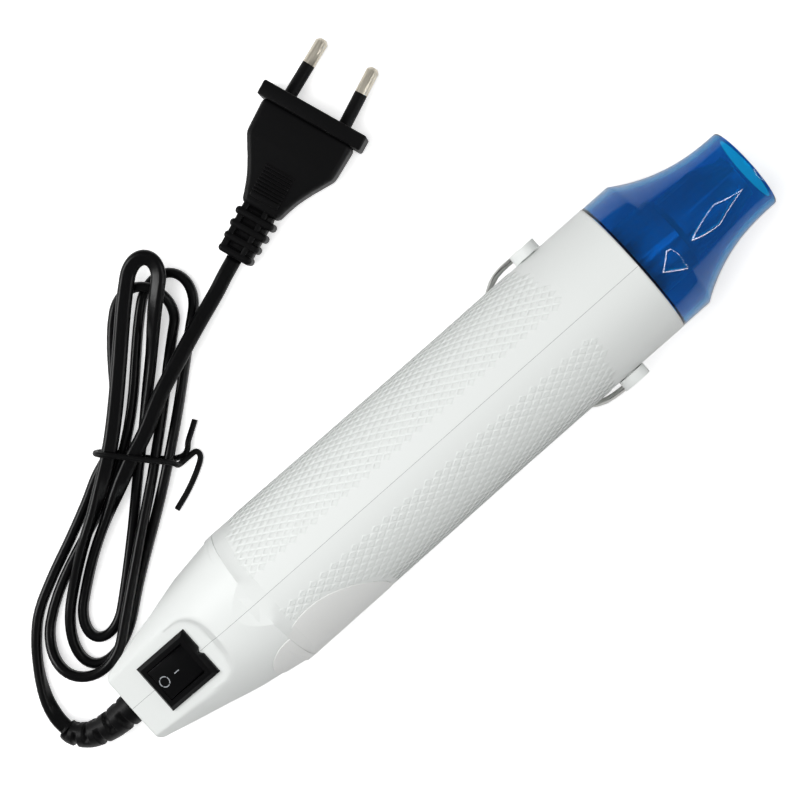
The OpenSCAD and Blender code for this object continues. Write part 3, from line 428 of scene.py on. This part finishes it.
# Ribbed boot, wider at the tail; bridges join its rings in turn on one side and the other
bootLook = {"startRadius": 5.2, "endRadius": 3.3, "rings": 6, "slotDepth": 1.15, "slotShare": 0.36}
bootLine = smoothLine([p + [0] for p in cordLook["boot"]], 14)
bootPlaces = [Vector(p[:3]) * mm for p in bootLine]


def bootOutline(i):
    f = i / (len(bootPlaces) - 1)
    outer = bootLook["startRadius"] + (bootLook["endRadius"] - bootLook["startRadius"]) * f
    step = (f - 0.14) / 0.84 * bootLook["rings"]
    inSlot = 0.0
    if 0 < step < bootLook["rings"]:
        d = abs(step % 1 - 0.5) / (bootLook["slotShare"] / 2)
        inSlot = max(0.0, min(1.0, (1.25 - d) * 4))
    ring = []
    for k in range(40):
        a = 2 * pi * k / 40
        bridge = max(0.0, min(1.0, (cos(a - (0.6 if int(step) % 2 else 2.3)) - 0.80) * 12))
        bridge = max(bridge, max(0.0, min(1.0, (cos(a + 1.6) - 0.80) * 12)))
        radius = (outer - bootLook["slotDepth"] * inSlot * (1 - bridge)) * mm
        ring.append((radius * cos(a), radius * sin(a)))
    return ring


boot = sweep("cordBoot", bootPlaces, [0] * len(bootPlaces), bootOutline, mouldedPvc)
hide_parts("cord_boot")
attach(boot, "housing")

# Wire tie round the waist of the hank
tieLook = {"diameter": 1.8, "points": [[14, -14.6, 1.2], [10.4, -14.2, 1.8], [7.4, -14, 3.4], [4.6, -14, 2.6],
    [2.4, -12.6, 1.2], [1, -9, 0.9], [0, -1, 0.9], [0, 8, 0.9], [-0.4, 11.2, 1.6], [-0.6, 12.2, 3.8],
    [-0.6, 12.4, 7], [-0.6, 11.6, 10.2], [-0.4, 9.4, 11.8], [0, 4, 11.8], [0.2, -1, 11.7], [0.4, -6, 10.2],
    [0.6, -9.6, 9], [0.4, -11.6, 7.8], [0, -12.4, 5.6], [0.4, -12.9, 3.6], [2.6, -14.6, 1.6],
    [4.6, -16.6, 1.2], [3, -18.2, 1.2], [-2, -17.6, 1.2], [-8, -16, 1.2], [-13.8, -13.8, 1.2]]}
tieLine = [Vector(p[:3]) * mm for p in smoothLine([onHank(p) + [p[2], 0] for p in tieLook["points"]], 5)]
tieRound = [(tieLook["diameter"] * mm / 2 * cos(2 * pi * k / 12), tieLook["diameter"] * mm / 2 * sin(2 * pi * k / 12))
    for k in range(12)]
tie = sweep("wireTie", tieLine, [0] * len(tieLine), lambda i: tieRound, mouldedPvc)
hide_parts("cord_tie")
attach(tie, "housing")


# ---- Plug, modelled lying along X from the cord's end and then turned into place
def addBlock(name, low, high, round_, material, segments=3):
    # A block between two corners in millimetres, with its edges rounded
    deselectAll()
    bpy.ops.mesh.primitive_cube_add(size=1, location=[(a + b) / 2 * mm for a, b in zip(low, high)])
    block = bpy.context.object
    block.name = name
    block.scale = [(b - a) * mm for a, b in zip(low, high)]
    bpy.ops.object.transform_apply(location=True, rotation=True, scale=True)
    setMaterial(block, material)
    if round_:
        applyModifier(block, "BEVEL", width=round_ * mm, segments=segments, limit_method="ANGLE")
    return block


def selectFaces(piece, wanted):
    # In edit mode, with only the faces selected for which wanted(centre, normal) holds
    selectOnly(piece)
    bpy.ops.object.mode_set(mode="EDIT")
    bpy.ops.mesh.select_mode(type="FACE")
    bpy.ops.mesh.select_all(action="DESELECT")
    bpy.ops.object.mode_set(mode="OBJECT")
    for face in piece.data.polygons:
        face.select = wanted(face.center / mm, face.normal)
    bpy.ops.object.mode_set(mode="EDIT")


def joinPieces(pieces, name):
    deselectAll()
    for piece in pieces:
        piece.select_set(True)
    bpy.context.view_layer.objects.active = pieces[0]
    bpy.ops.object.join()
    pieces[0].name = name
    return pieces[0]


def placePiece(piece, matrix):
    selectOnly(piece)
    piece.matrix_world = matrix
    bpy.ops.object.transform_apply(location=True, rotation=True, scale=True)


plugLook = {
    "at": (-9.6, 80.1, 6.85), "turn": 18.9, "length": 50.5, "flange": (4.8, 34.6, 13.7),
    # Distance from the cord, half width and half height of the body
    "body": [[15.8, 6.1, 5.2], [17.5, 6.4, 5.5], [19, 6.85, 5.6], [20.5, 7.35, 5.65], [22, 7.9, 5.7],
        [23.5, 8.5, 5.75], [25.2, 9.3, 5.8], [26.8, 10.15, 5.9], [28.5, 11.05, 5.95], [30, 12.0, 6],
        [31.5, 12.85, 6.05], [32.5, 13.45, 6.1], [33.5, 14.05, 6.1], [34.3, 14.45, 6.15], [35, 14.65, 6.2],
        [36, 14.75, 6.2], [40, 14.9, 6.3], [46, 15.1, 6.4]],
    "edge": 2.4,
    "rings": [[0.1, 5.5, 5.0], [4.1, 5.8, 5.1], [8.1, 6.1, 5.2], [12.1, 6.4, 5.4]], "ringWidth": 2.5,
    "spines": [[-2.9, 1.6], [3.3, 1.9]], "spineHigh": 4.8,
    "patchHigh": 6.4, "patchFrom": 20.6, "patchTo": 29.6, "patchWide": 9.4, "ridges": 8,
}
(x0, w0, h0), (x1, w1, h1) = plugLook["body"][:2]
plugBody = addBlock("plugBody", (x0, -w0, -h0), (x1, w0, h0), 0, mouldedPvc)
selectFaces(plugBody, lambda centre, normal: normal.x > 0.9)
bpy.ops.transform.resize(value=(1, w1 / w0, h1 / h0))
for (x0, w0, h0), (x1, w1, h1) in zip(plugLook["body"][1:], plugLook["body"][2:]):
    bpy.ops.mesh.extrude_region_move(TRANSFORM_OT_translate={"value": ((x1 - x0) * mm, 0, 0)})
    bpy.ops.transform.resize(value=(1, w1 / w0, h1 / h0))
bpy.ops.object.mode_set(mode="OBJECT")
applyModifier(plugBody, "BEVEL", width=plugLook["edge"] * mm, segments=6, limit_method="ANGLE",
    angle_limit=radians(50))
l, w, h = plugLook["flange"]
end = plugLook["length"]
plugParts = [plugBody, addBlock("flange", (end - l, -w / 2, -h / 2), (end, w / 2, h / 2), 0.6, mouldedPvc),
    addBlock("reliefCore", (0.3, -4.9, -3.3), (17, 4.9, 3.3), 1.8, mouldedPvc)]
for x, w, h in plugLook["rings"]:
    plugParts.append(addBlock("reliefRing", (x, -w, -h), (x + plugLook["ringWidth"], w, h), 1.15, mouldedPvc, 5))
for side in (-1, 1):
    low, high = min(plugLook["spineHigh"] * side, 0), max(plugLook["spineHigh"] * side, 0)
    for y, w in plugLook["spines"]:
        plugParts.append(addBlock("reliefSpine", (0.8, y, low), (17, y + w, high), 0.4, mouldedPvc))
    a, b, w = plugLook["patchFrom"], plugLook["patchTo"], plugLook["patchWide"] / 2
    low, high = min(plugLook["patchHigh"] * side, 0), max(plugLook["patchHigh"] * side, 0)
    plugParts.append(addBlock("thumbStop", (a - 1.9, -w, low), (a - 0.2, w, high), 0.3, mouldedPvc))
    pitch = (b - a) / plugLook["ridges"]
    ridge = addBlock("ridge", (a, -w, low), (a + 0.6 * pitch, w, high), 0.2, mouldedPvc)
    applyModifier(ridge, "ARRAY", count=plugLook["ridges"], use_relative_offset=False, use_constant_offset=True,
        constant_offset_displace=(pitch * mm, 0, 0))
    plugParts.append(ridge)
plug = joinPieces(plugParts, "plugBody")
plugTurn = Matrix.Rotation(radians(plugLook["turn"]), 4, "Z")
placePiece(plug, Matrix.Translation([c * mm for c in plugLook["at"]]) @ plugTurn)
smoothByAngle(plug, 40)
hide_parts("plug_body")
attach(plug, "housing")


def useCopy(node, name, material, body, round_=0.0, edge=40, smooth=35):
    # A merged copy of a CAD piece with its sharp edges rounded, standing for that piece
    piece = copyOfNode(node, name, material)
    if round_:
        applyModifier(piece, "BEVEL", width=round_ * mm, segments=3, limit_method="ANGLE", angle_limit=radians(edge))
    smoothByAngle(piece, smooth)
    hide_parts(node)
    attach(piece, body)
    return piece


pins = useCopy("plug_pins", "plugPins", nickel, "housing", smooth=60)
sleeves = useCopy("plug_pin_sleeves", "plugPinSleeves", mouldedPvc, "housing")
print("cord and plug are made,", round(cordLength, 3), "m of cord")

# ---- Shells and their knurled grip
tool = {"tailX": -118.5, "axisZ": 24.6, "barrelRadius": 22.3, "rearRadius": 22.9, "flareEnd": 52,
    "straightFrom": 133.8, "joint": 193.9, "length": 237}
for node in ("left_shell", "right_shell"):
    setMaterial(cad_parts[node], whiteAbs)

# The oval label lies on the right flank: place along and round the barrel, half its length and width
label = {"at": 61.5, "angle": 70, "half": (22.4, 16.9)}


def onLabel(s, angle, radius):
    u, v = s - label["at"], radians(angle - label["angle"]) * radius
    return (u / label["half"][0]) ** 2 + (v / label["half"][1]) ** 2 < 1


# The bend at the flare's end: a thin skirt of rings that runs the tail's oval out into the round barrel
bend = {"rings": ((51.95, 22.72, 24.5), (53.0, 22.8, 23.85), (54.4, 22.86, 23.25), (56.2, 22.84, 22.85)),
    "flat": 22.9, "points": 360, "labelUp": 0.21}


def flareBend(name, material, grow, inLabel):
    deselectAll()
    first = bend["rings"][0]
    bpy.ops.mesh.primitive_circle_add(vertices=bend["points"], radius=mm, rotation=(0, pi / 2, 0),
        location=((first[0] + tool["tailX"]) * mm, 0, tool["axisZ"] * mm))
    skirt = bpy.context.object
    skirt.name = name
    bpy.ops.object.transform_apply(location=True, rotation=True, scale=True)
    bpy.ops.object.mode_set(mode="EDIT")
    bpy.ops.mesh.select_mode(type="VERT")
    bpy.ops.mesh.select_all(action="SELECT")
    bpy.ops.transform.resize(value=(1, first[1] + grow, first[2] + grow))
    for (s0, wide0, high0), (s1, wide1, high1) in zip(bend["rings"], bend["rings"][1:]):
        bpy.ops.mesh.extrude_region_move(TRANSFORM_OT_translate={"value": ((s1 - s0) * mm, 0, 0)})
        bpy.ops.transform.resize(value=(1, (wide1 + grow) / (wide0 + grow), (high1 + grow) / (high0 + grow)))
    bpy.ops.mesh.select_all(action="SELECT")
    bpy.ops.mesh.normals_make_consistent(inside=False)
    bpy.ops.mesh.select_all(action="DESELECT")
    bpy.ops.object.mode_set(mode="OBJECT")
    # Level above and below like the tail; the label's own skirt keeps only what lies on the label
    for v in skirt.data.vertices:
        s, y, z = v.co.x / mm - tool["tailX"], v.co.y / mm, v.co.z / mm - tool["axisZ"]
        v.co.z = (tool["axisZ"] + max(-bend["flat"], min(bend["flat"], z))) * mm
        v.select = inLabel and not onLabel(s, degrees(atan2(-y, z)), tool["rearRadius"])
    bpy.ops.object.mode_set(mode="EDIT")
    bpy.ops.mesh.delete(type="VERT")
    bpy.ops.object.mode_set(mode="OBJECT")
    setMaterial(skirt, material)
    smoothByAngle(skirt, 60)
    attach(skirt, "housing")


flareBend("flareBend", whiteAbs, 0.0, False)
flareBend("labelBend", foil, bend["labelUp"], True)

# Raised diamonds in staggered rows: two are modelled, and arrays copy them along and round the barrel
gripLook = {"pitch": 3.9, "row": 1.25, "fromSeam": 13.5, "toAngle": 126, "height": 0.32, "long": 1.84, "wide": 1.15,
    "start": 46.1, "along": 34, "ends": (53, 173.5), "slant": 7.5, "corner": 2.5, "buttonAt": 173.8,
    "buttonRoom": 8.5, "foot": 0.2, "footAt": 0.07, "shoulder": 0.62, "top": 0.5}


def barrelRadius(s):
    f = max(0.0, min(1.0, (s - tool["flareEnd"]) / (tool["straightFrom"] - tool["flareEnd"])))
    return tool["rearRadius"] + (tool["barrelRadius"] - tool["rearRadius"]) * f


def aroundAxis(angle):
    up = Matrix.Translation((0, 0, tool["axisZ"] * mm))
    return up @ Matrix.Rotation(radians(angle), 4, "X") @ up.inverted()


def inGrip(s, angle, side):
    # The ends slant, so the grip is shorter along the flank than beside the seam
    f = min(1.0, (angle - gripLook["fromSeam"]) / (90 - gripLook["fromSeam"]))
    trim = gripLook["slant"] * f + gripLook["corner"] * (1 - f) ** 6
    first, last = gripLook["ends"]
    if not (gripLook["fromSeam"] + 1 < angle and first + trim < s < last - trim):
        return False
    if side < 0 and onLabel(s, angle, barrelRadius(s)):
        return False
    fromButton = radians(angle - 90) * barrelRadius(s)
    return (s - gripLook["buttonAt"]) ** 2 + fromButton ** 2 > gripLook["buttonRoom"] ** 2


rowAngle = degrees(gripLook["row"] / tool["barrelRadius"])
for side, name in ((1, "gripLeft"), (-1, "gripRight")):
    pair = []
    for k in (0, 1):
        deselectAll()
        s = gripLook["start"] + 0.5 * k * gripLook["pitch"]
        height = tool["axisZ"] + tool["barrelRadius"] + gripLook["footAt"]
        bpy.ops.mesh.primitive_cone_add(vertices=4, radius1=1, radius2=gripLook["shoulder"], depth=1,
            end_fill_type="NGON", location=((s + tool["tailX"]) * mm, 0, height * mm))
        diamond = bpy.context.object
        diamond.scale = (gripLook["long"] * mm, gripLook["wide"] * mm, gripLook["foot"] * mm)
        bpy.ops.object.transform_apply(location=True, rotation=True, scale=True)
        selectFaces(diamond, lambda centre, normal: normal.z > 0.99)
        rise = gripLook["height"] - gripLook["footAt"] - gripLook["foot"] / 2
        bpy.ops.mesh.extrude_region_move(TRANSFORM_OT_translate={"value": (0, 0, rise * mm)})
        bpy.ops.transform.resize(value=(gripLook["top"], gripLook["top"], 1))
        bpy.ops.object.mode_set(mode="OBJECT")
        placePiece(diamond, aroundAxis(-side * (gripLook["fromSeam"] + k * rowAngle)))
        pair.append(diamond)
    corners = len(pair[0].data.vertices)
    grip = joinPieces(pair, name)
    deselectAll()
    bpy.ops.object.empty_add()
    nextRows = bpy.context.object
    nextRows.matrix_world = aroundAxis(-side * 2 * rowAngle)
    applyModifier(grip, "ARRAY", count=gripLook["along"], use_relative_offset=False, use_constant_offset=True,
        constant_offset_displace=(gripLook["pitch"] * mm, 0, 0))
    applyModifier(grip, "ARRAY", count=int((gripLook["toAngle"] - gripLook["fromSeam"]) / rowAngle / 2),
        use_relative_offset=False, use_object_offset=True, offset_object=nextRows)
    bpy.data.objects.remove(nextRows)
    # Each diamond is set down on the barrel, and those outside the grip are taken away
    selectOnly(grip)
    bpy.ops.object.mode_set(mode="EDIT")
    bpy.ops.mesh.select_mode(type="VERT")
    bpy.ops.object.mode_set(mode="OBJECT")
    spots = grip.data.vertices
    for n in range(0, len(spots), corners):
        group = [spots[n + k] for k in range(corners)]
        middle = sum((v.co for v in group), Vector()) / corners / mm
        s, y, z = middle.x - tool["tailX"], middle.y, middle.z - tool["axisZ"]
        keep = inGrip(s, degrees(atan2(side * y, z)), side)
        out = Vector((0, y, z)).normalized() * (barrelRadius(s) - tool["barrelRadius"]) * mm
        for v in group:
            v.co += out
            v.select = not keep
    bpy.ops.object.mode_set(mode="EDIT")
    bpy.ops.mesh.delete(type="VERT")
    bpy.ops.object.mode_set(mode="OBJECT")
    setMaterial(grip, whiteTrim)
    smoothByAngle(grip, 60)
    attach(grip, "housing")
print("shells and grip are made")

# ---- Nozzle guard: its profile is drawn by extruding one point, then spun about the barrel's axis
guardLook = {"from": 187.4, "sleeve": (20.0, 18.3), "collarEnd": 203.7, "throat": 13.2, "collarRadius": 22.2,
    "power": 2.35, "wall": 1.7, "lip": 1.3}


def guardRadius(s):
    t = max(0.0, min(1.0, (s - guardLook["collarEnd"]) / (front - guardLook["lip"] - guardLook["collarEnd"])))
    return guardLook["throat"] + (guardLook["collarRadius"] - guardLook["throat"]) * (1 - t) ** guardLook["power"]


def spinProfile(name, profile, material, steps):
    # The profile is a closed loop of (distance from the tail, radius)
    places = [Vector(((s + tool["tailX"]) * mm, 0, (tool["axisZ"] + r) * mm)) for s, r in profile]
    deselectAll()
    bpy.ops.mesh.primitive_plane_add(size=mm)
    piece = bpy.context.object
    piece.name = name
    bpy.ops.object.mode_set(mode="EDIT")
    bpy.ops.mesh.select_mode(type="VERT")
    bpy.ops.mesh.select_all(action="SELECT")
    bpy.ops.mesh.merge(type="CENTER")
    bpy.ops.transform.translate(value=places[0])
    for a, b in zip(places, places[1:] + places[:1]):
        bpy.ops.mesh.extrude_region_move(TRANSFORM_OT_translate={"value": b - a})
    bpy.ops.mesh.select_all(action="SELECT")
    bpy.ops.mesh.remove_doubles(threshold=0.000001)
    bpy.ops.mesh.spin(steps=steps, angle=2 * pi, center=(0, 0, tool["axisZ"] * mm), axis=(1, 0, 0))
    bpy.ops.mesh.select_all(action="SELECT")
    bpy.ops.mesh.remove_doubles(threshold=0.000001)
    bpy.ops.mesh.normals_make_consistent(inside=False)
    bpy.ops.object.mode_set(mode="OBJECT")
    setMaterial(piece, material)
    return piece


front, joint = tool["length"], tool["joint"]
outside, inside = guardLook["sleeve"]
flareStep = (front - guardLook["lip"] - guardLook["collarEnd"]) / 28
stations = [guardLook["collarEnd"] + i * flareStep for i in range(29)]
profile = [(guardLook["from"], outside), (joint, outside), (joint, 22.0), (joint + 0.2, guardLook["collarRadius"])]
profile += [(s, guardRadius(s)) for s in stations]
profile += [(front - 0.5, 13.2), (front - 0.15, 13.05), (front, 12.6), (front, 12.0), (front - 0.2, 11.6),
    (front - 0.6, 11.5)]
profile += [(s - 0.4, guardRadius(s) - guardLook["wall"]) for s in reversed(stations)]
profile += [(joint + 0.8, 20.5), (joint + 0.3, inside), (guardLook["from"], inside)]
guard = spinProfile("nozzleGuard", profile, bluePc, 96)
smoothByAngle(guard, 35)
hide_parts("nozzle_guard")
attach(guard, "housing")
useCopy("heat_nozzle", "heatNozzle", steel, "housing", smooth=30)
print("guard and nozzle are made")

# ---- Switch, modelled flat and then laid on its sloping face
switchLook = {"at": 19.8, "slope": 21, "faceZ": 24.6, "openingWide": 10.8, "rear": 2.3, "ridge": (2.3, 1.15),
    "front": -1.0, "end": 7.15, "low": -2.2, "play": 0.3, "edge": 0.22,
    "ringAt": -5.0, "ringRadius": 1.7, "barLength": 1.8, "line": 0.28}
slope = radians(switchLook["slope"])
faceHeight = switchLook["faceZ"] + switchLook["at"] * tan(slope)
onFace = Matrix.Translation(((switchLook["at"] + tool["tailX"]) * mm, 0, faceHeight * mm))
onFace = onFace @ Matrix.Rotation(-slope, 4, "Y")
useCopy("switch_housing", "switchHousing", blackNylon, "housing", switchLook["edge"], 25, 30)
w = switchLook["openingWide"] / 2 - switchLook["play"]
ridgeX, ridgeZ = switchLook["ridge"]
rocker = addBlock("switchRocker", (-switchLook["end"], -w, switchLook["low"]), (ridgeX, w, ridgeZ), 0, blackNylon)
selectFaces(rocker, lambda centre, normal: normal.x > 0.9)
bpy.ops.mesh.extrude_region_move(TRANSFORM_OT_translate={"value": ((7.1 - ridgeX) * mm, 0, 0)})
bpy.ops.object.mode_set(mode="OBJECT")
for v in rocker.data.vertices:
    if v.co.z > 0:
        v.co.z = {-7: switchLook["rear"], 2: ridgeZ, 7: switchLook["front"]}[int(v.co.x / mm)] * mm
applyModifier(rocker, "BEVEL", width=switchLook["edge"] * mm, segments=3, limit_method="ANGLE",
    angle_limit=radians(12))
placePiece(rocker, onFace)
smoothByAngle(rocker, 30)
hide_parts("switch_rocker")
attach(rocker, "rocker")

# A broken ring for off and a bar for on, printed as on any such switch
tilt = atan2(switchLook["rear"] - ridgeZ, ridgeX + switchLook["end"])
deselectAll()
bpy.ops.mesh.primitive_circle_add(vertices=32, radius=switchLook["ringRadius"] * mm,
    location=(switchLook["ringAt"] * mm, 0, 0))
ring = bpy.context.object
bpy.ops.object.transform_apply(location=True)
bpy.ops.object.mode_set(mode="EDIT")
bpy.ops.mesh.select_mode(type="VERT")
bpy.ops.mesh.select_all(action="SELECT")
bpy.ops.mesh.extrude_region_move()
shrink = 1 - switchLook["line"] / switchLook["ringRadius"]
bpy.ops.transform.resize(value=(shrink, shrink, 1))
bpy.ops.object.mode_set(mode="OBJECT")
ringAt = switchLook["ringAt"]
selectFaces(ring, lambda centre, normal: int(degrees(atan2(centre.y, centre.x - ringAt)) / 11.25 + 16) % 8 == 2)
bpy.ops.mesh.delete(type="FACE")
bpy.ops.object.mode_set(mode="OBJECT")
deselectAll()
bpy.ops.mesh.primitive_plane_add(size=1)
bar = bpy.context.object
bar.scale = (switchLook["barLength"] * mm, switchLook["line"] * mm, 1)
bpy.ops.object.transform_apply(scale=True)
marks = joinPieces([ring, bar], "switchMarks")
onRidge = onFace @ Matrix.Translation((ridgeX * mm, 0, (ridgeZ + 0.03) * mm)) @ Matrix.Rotation(tilt, 4, "Y")
placePiece(marks, onRidge @ Matrix.Translation((-ridgeX * mm, 0, 0)))
setMaterial(marks, markInk)
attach(marks, "rocker")
print("switch is made")

# ---- Stand and label
useCopy("stand_button_left", "standButtonLeft", whiteTrim, "stand", 0.55)
useCopy("stand_button_right", "standButtonRight", whiteTrim, "stand", 0.55)
useCopy("stand_wire", "standWire", brightWire, "stand", smooth=60)
setMaterial(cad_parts["rating_label"], foil)
print("stand and label are made")

# ---- What is inside and what stays as it was built
# Zinc, electroplated on steel sheet and screws: bluish grey with faint cloudy crystals
zinc, tree, shader, coords = startMaterial("electroplatedZinc", "#B9BDC2", 0.35, 1.0)
addGrain(tree, shader, coords, 400, 0.00002, 4.0)
# Nickel-chromium wire, drawn and oxidised: dull brownish grey
heatWire, tree, shader, coords = startMaterial("oxidisedNichrome", "#6F665E", 0.5, 1.0)
addGrain(tree, shader, coords, 1500, 0.00002)
# Vulcanised fibre, pressed sheet: dry reddish brown with fine fibres
fibre, tree, shader, coords = startMaterial("vulcanisedFibre", "#7A4A36", 0.7)
addGrain(tree, shader, coords, 900, 0.00005, 6.0)


def addMottle(tree, shader, coords, perMetre, dark, light):
    # Soft clouds of two colours
    cloud = addNode(tree, "ShaderNodeTexNoise", {"Vector": coords, "Scale": perMetre, "Detail": 5.0})
    mix = addNode(tree, "ShaderNodeMix", {"Factor": cloud.outputs[0], "A": linear(dark), "B": linear(light)},
        data_type="RGBA")
    tree.links.new(mix.outputs["Result"], shader.inputs["Base Color"])


# Mica, split sheet: pale gold, pearly, with darker flakes
mica, tree, shader, coords = startMaterial("splitMica", "#B9A98A", 0.28, IOR=1.58)
addMottle(tree, shader, coords, 260, "#8D7C5C", "#D9CDB2")
# Nylon filled with glass, moulded: dry white for the fan and its housing
fanNylon, tree, shader, coords = startMaterial("glassFilledNylon", "#DAD8D0", 0.55, IOR=1.53)
addGrain(tree, shader, coords, 1500, 0.00003)
# Steel, ground shaft: bright and even
groundSteel, tree, shader, coords = startMaterial("groundSteel", "#CFCFCE", 0.16, 1.0)
addGrain(tree, shader, coords, 2000, 0.00001)
# Phenolic paper, pressed board: warm brown with faint mottling
board, tree, shader, coords = startMaterial("phenolicPaperBoard", "#A87A4A", 0.45, IOR=1.6)
addMottle(tree, shader, coords, 320, "#96683A", "#B98B58")
# Epoxy, dipped round the film capacitor: glossy brick red, slightly lumpy
dipped, tree, shader, coords = startMaterial("dippedEpoxy", "#8E2F22", 0.22, IOR=1.55)
addGrain(tree, shader, coords, 500, 0.00008)
# Brass, stamped and tinned: grey gold with fine scratches
brass, tree, shader, coords = startMaterial("stampedBrass", "#C9A85C", 0.3, 1.0)
addGrain(tree, shader, coords, 1400, 0.00001)
# Silicone rubber, extruded sleeve of the inner wires: matt red brown
silicone, tree, shader, coords = startMaterial("siliconeSleeve", "#8C3B30", 0.6, IOR=1.42)
addGrain(tree, shader, coords, 1200, 0.00003)
finishes = {
    "front_ring": fibre, "mica_sleeve": mica, "heater_former": mica, "heater_coil": heatWire,
    "thermal_cutout": zinc, "fan_housing": fanNylon, "fan": fanNylon, "motor_shaft": groundSteel, "motor_can": zinc,
    "motor_bracket": zinc, "motor_screws": zinc, "circuit_board": board, "board_diodes": blackNylon,
    "board_capacitor": dipped, "switch_terminals": brass, "inner_wires": silicone, "inner_cord_end": blackPvc,
    "cord_clamp": whiteTrim, "clamp_screws": zinc, "shell_screws": zinc,
}
for node, material in finishes.items():
    setMaterial(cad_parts[node], material)
print("inner pieces have their finishes")
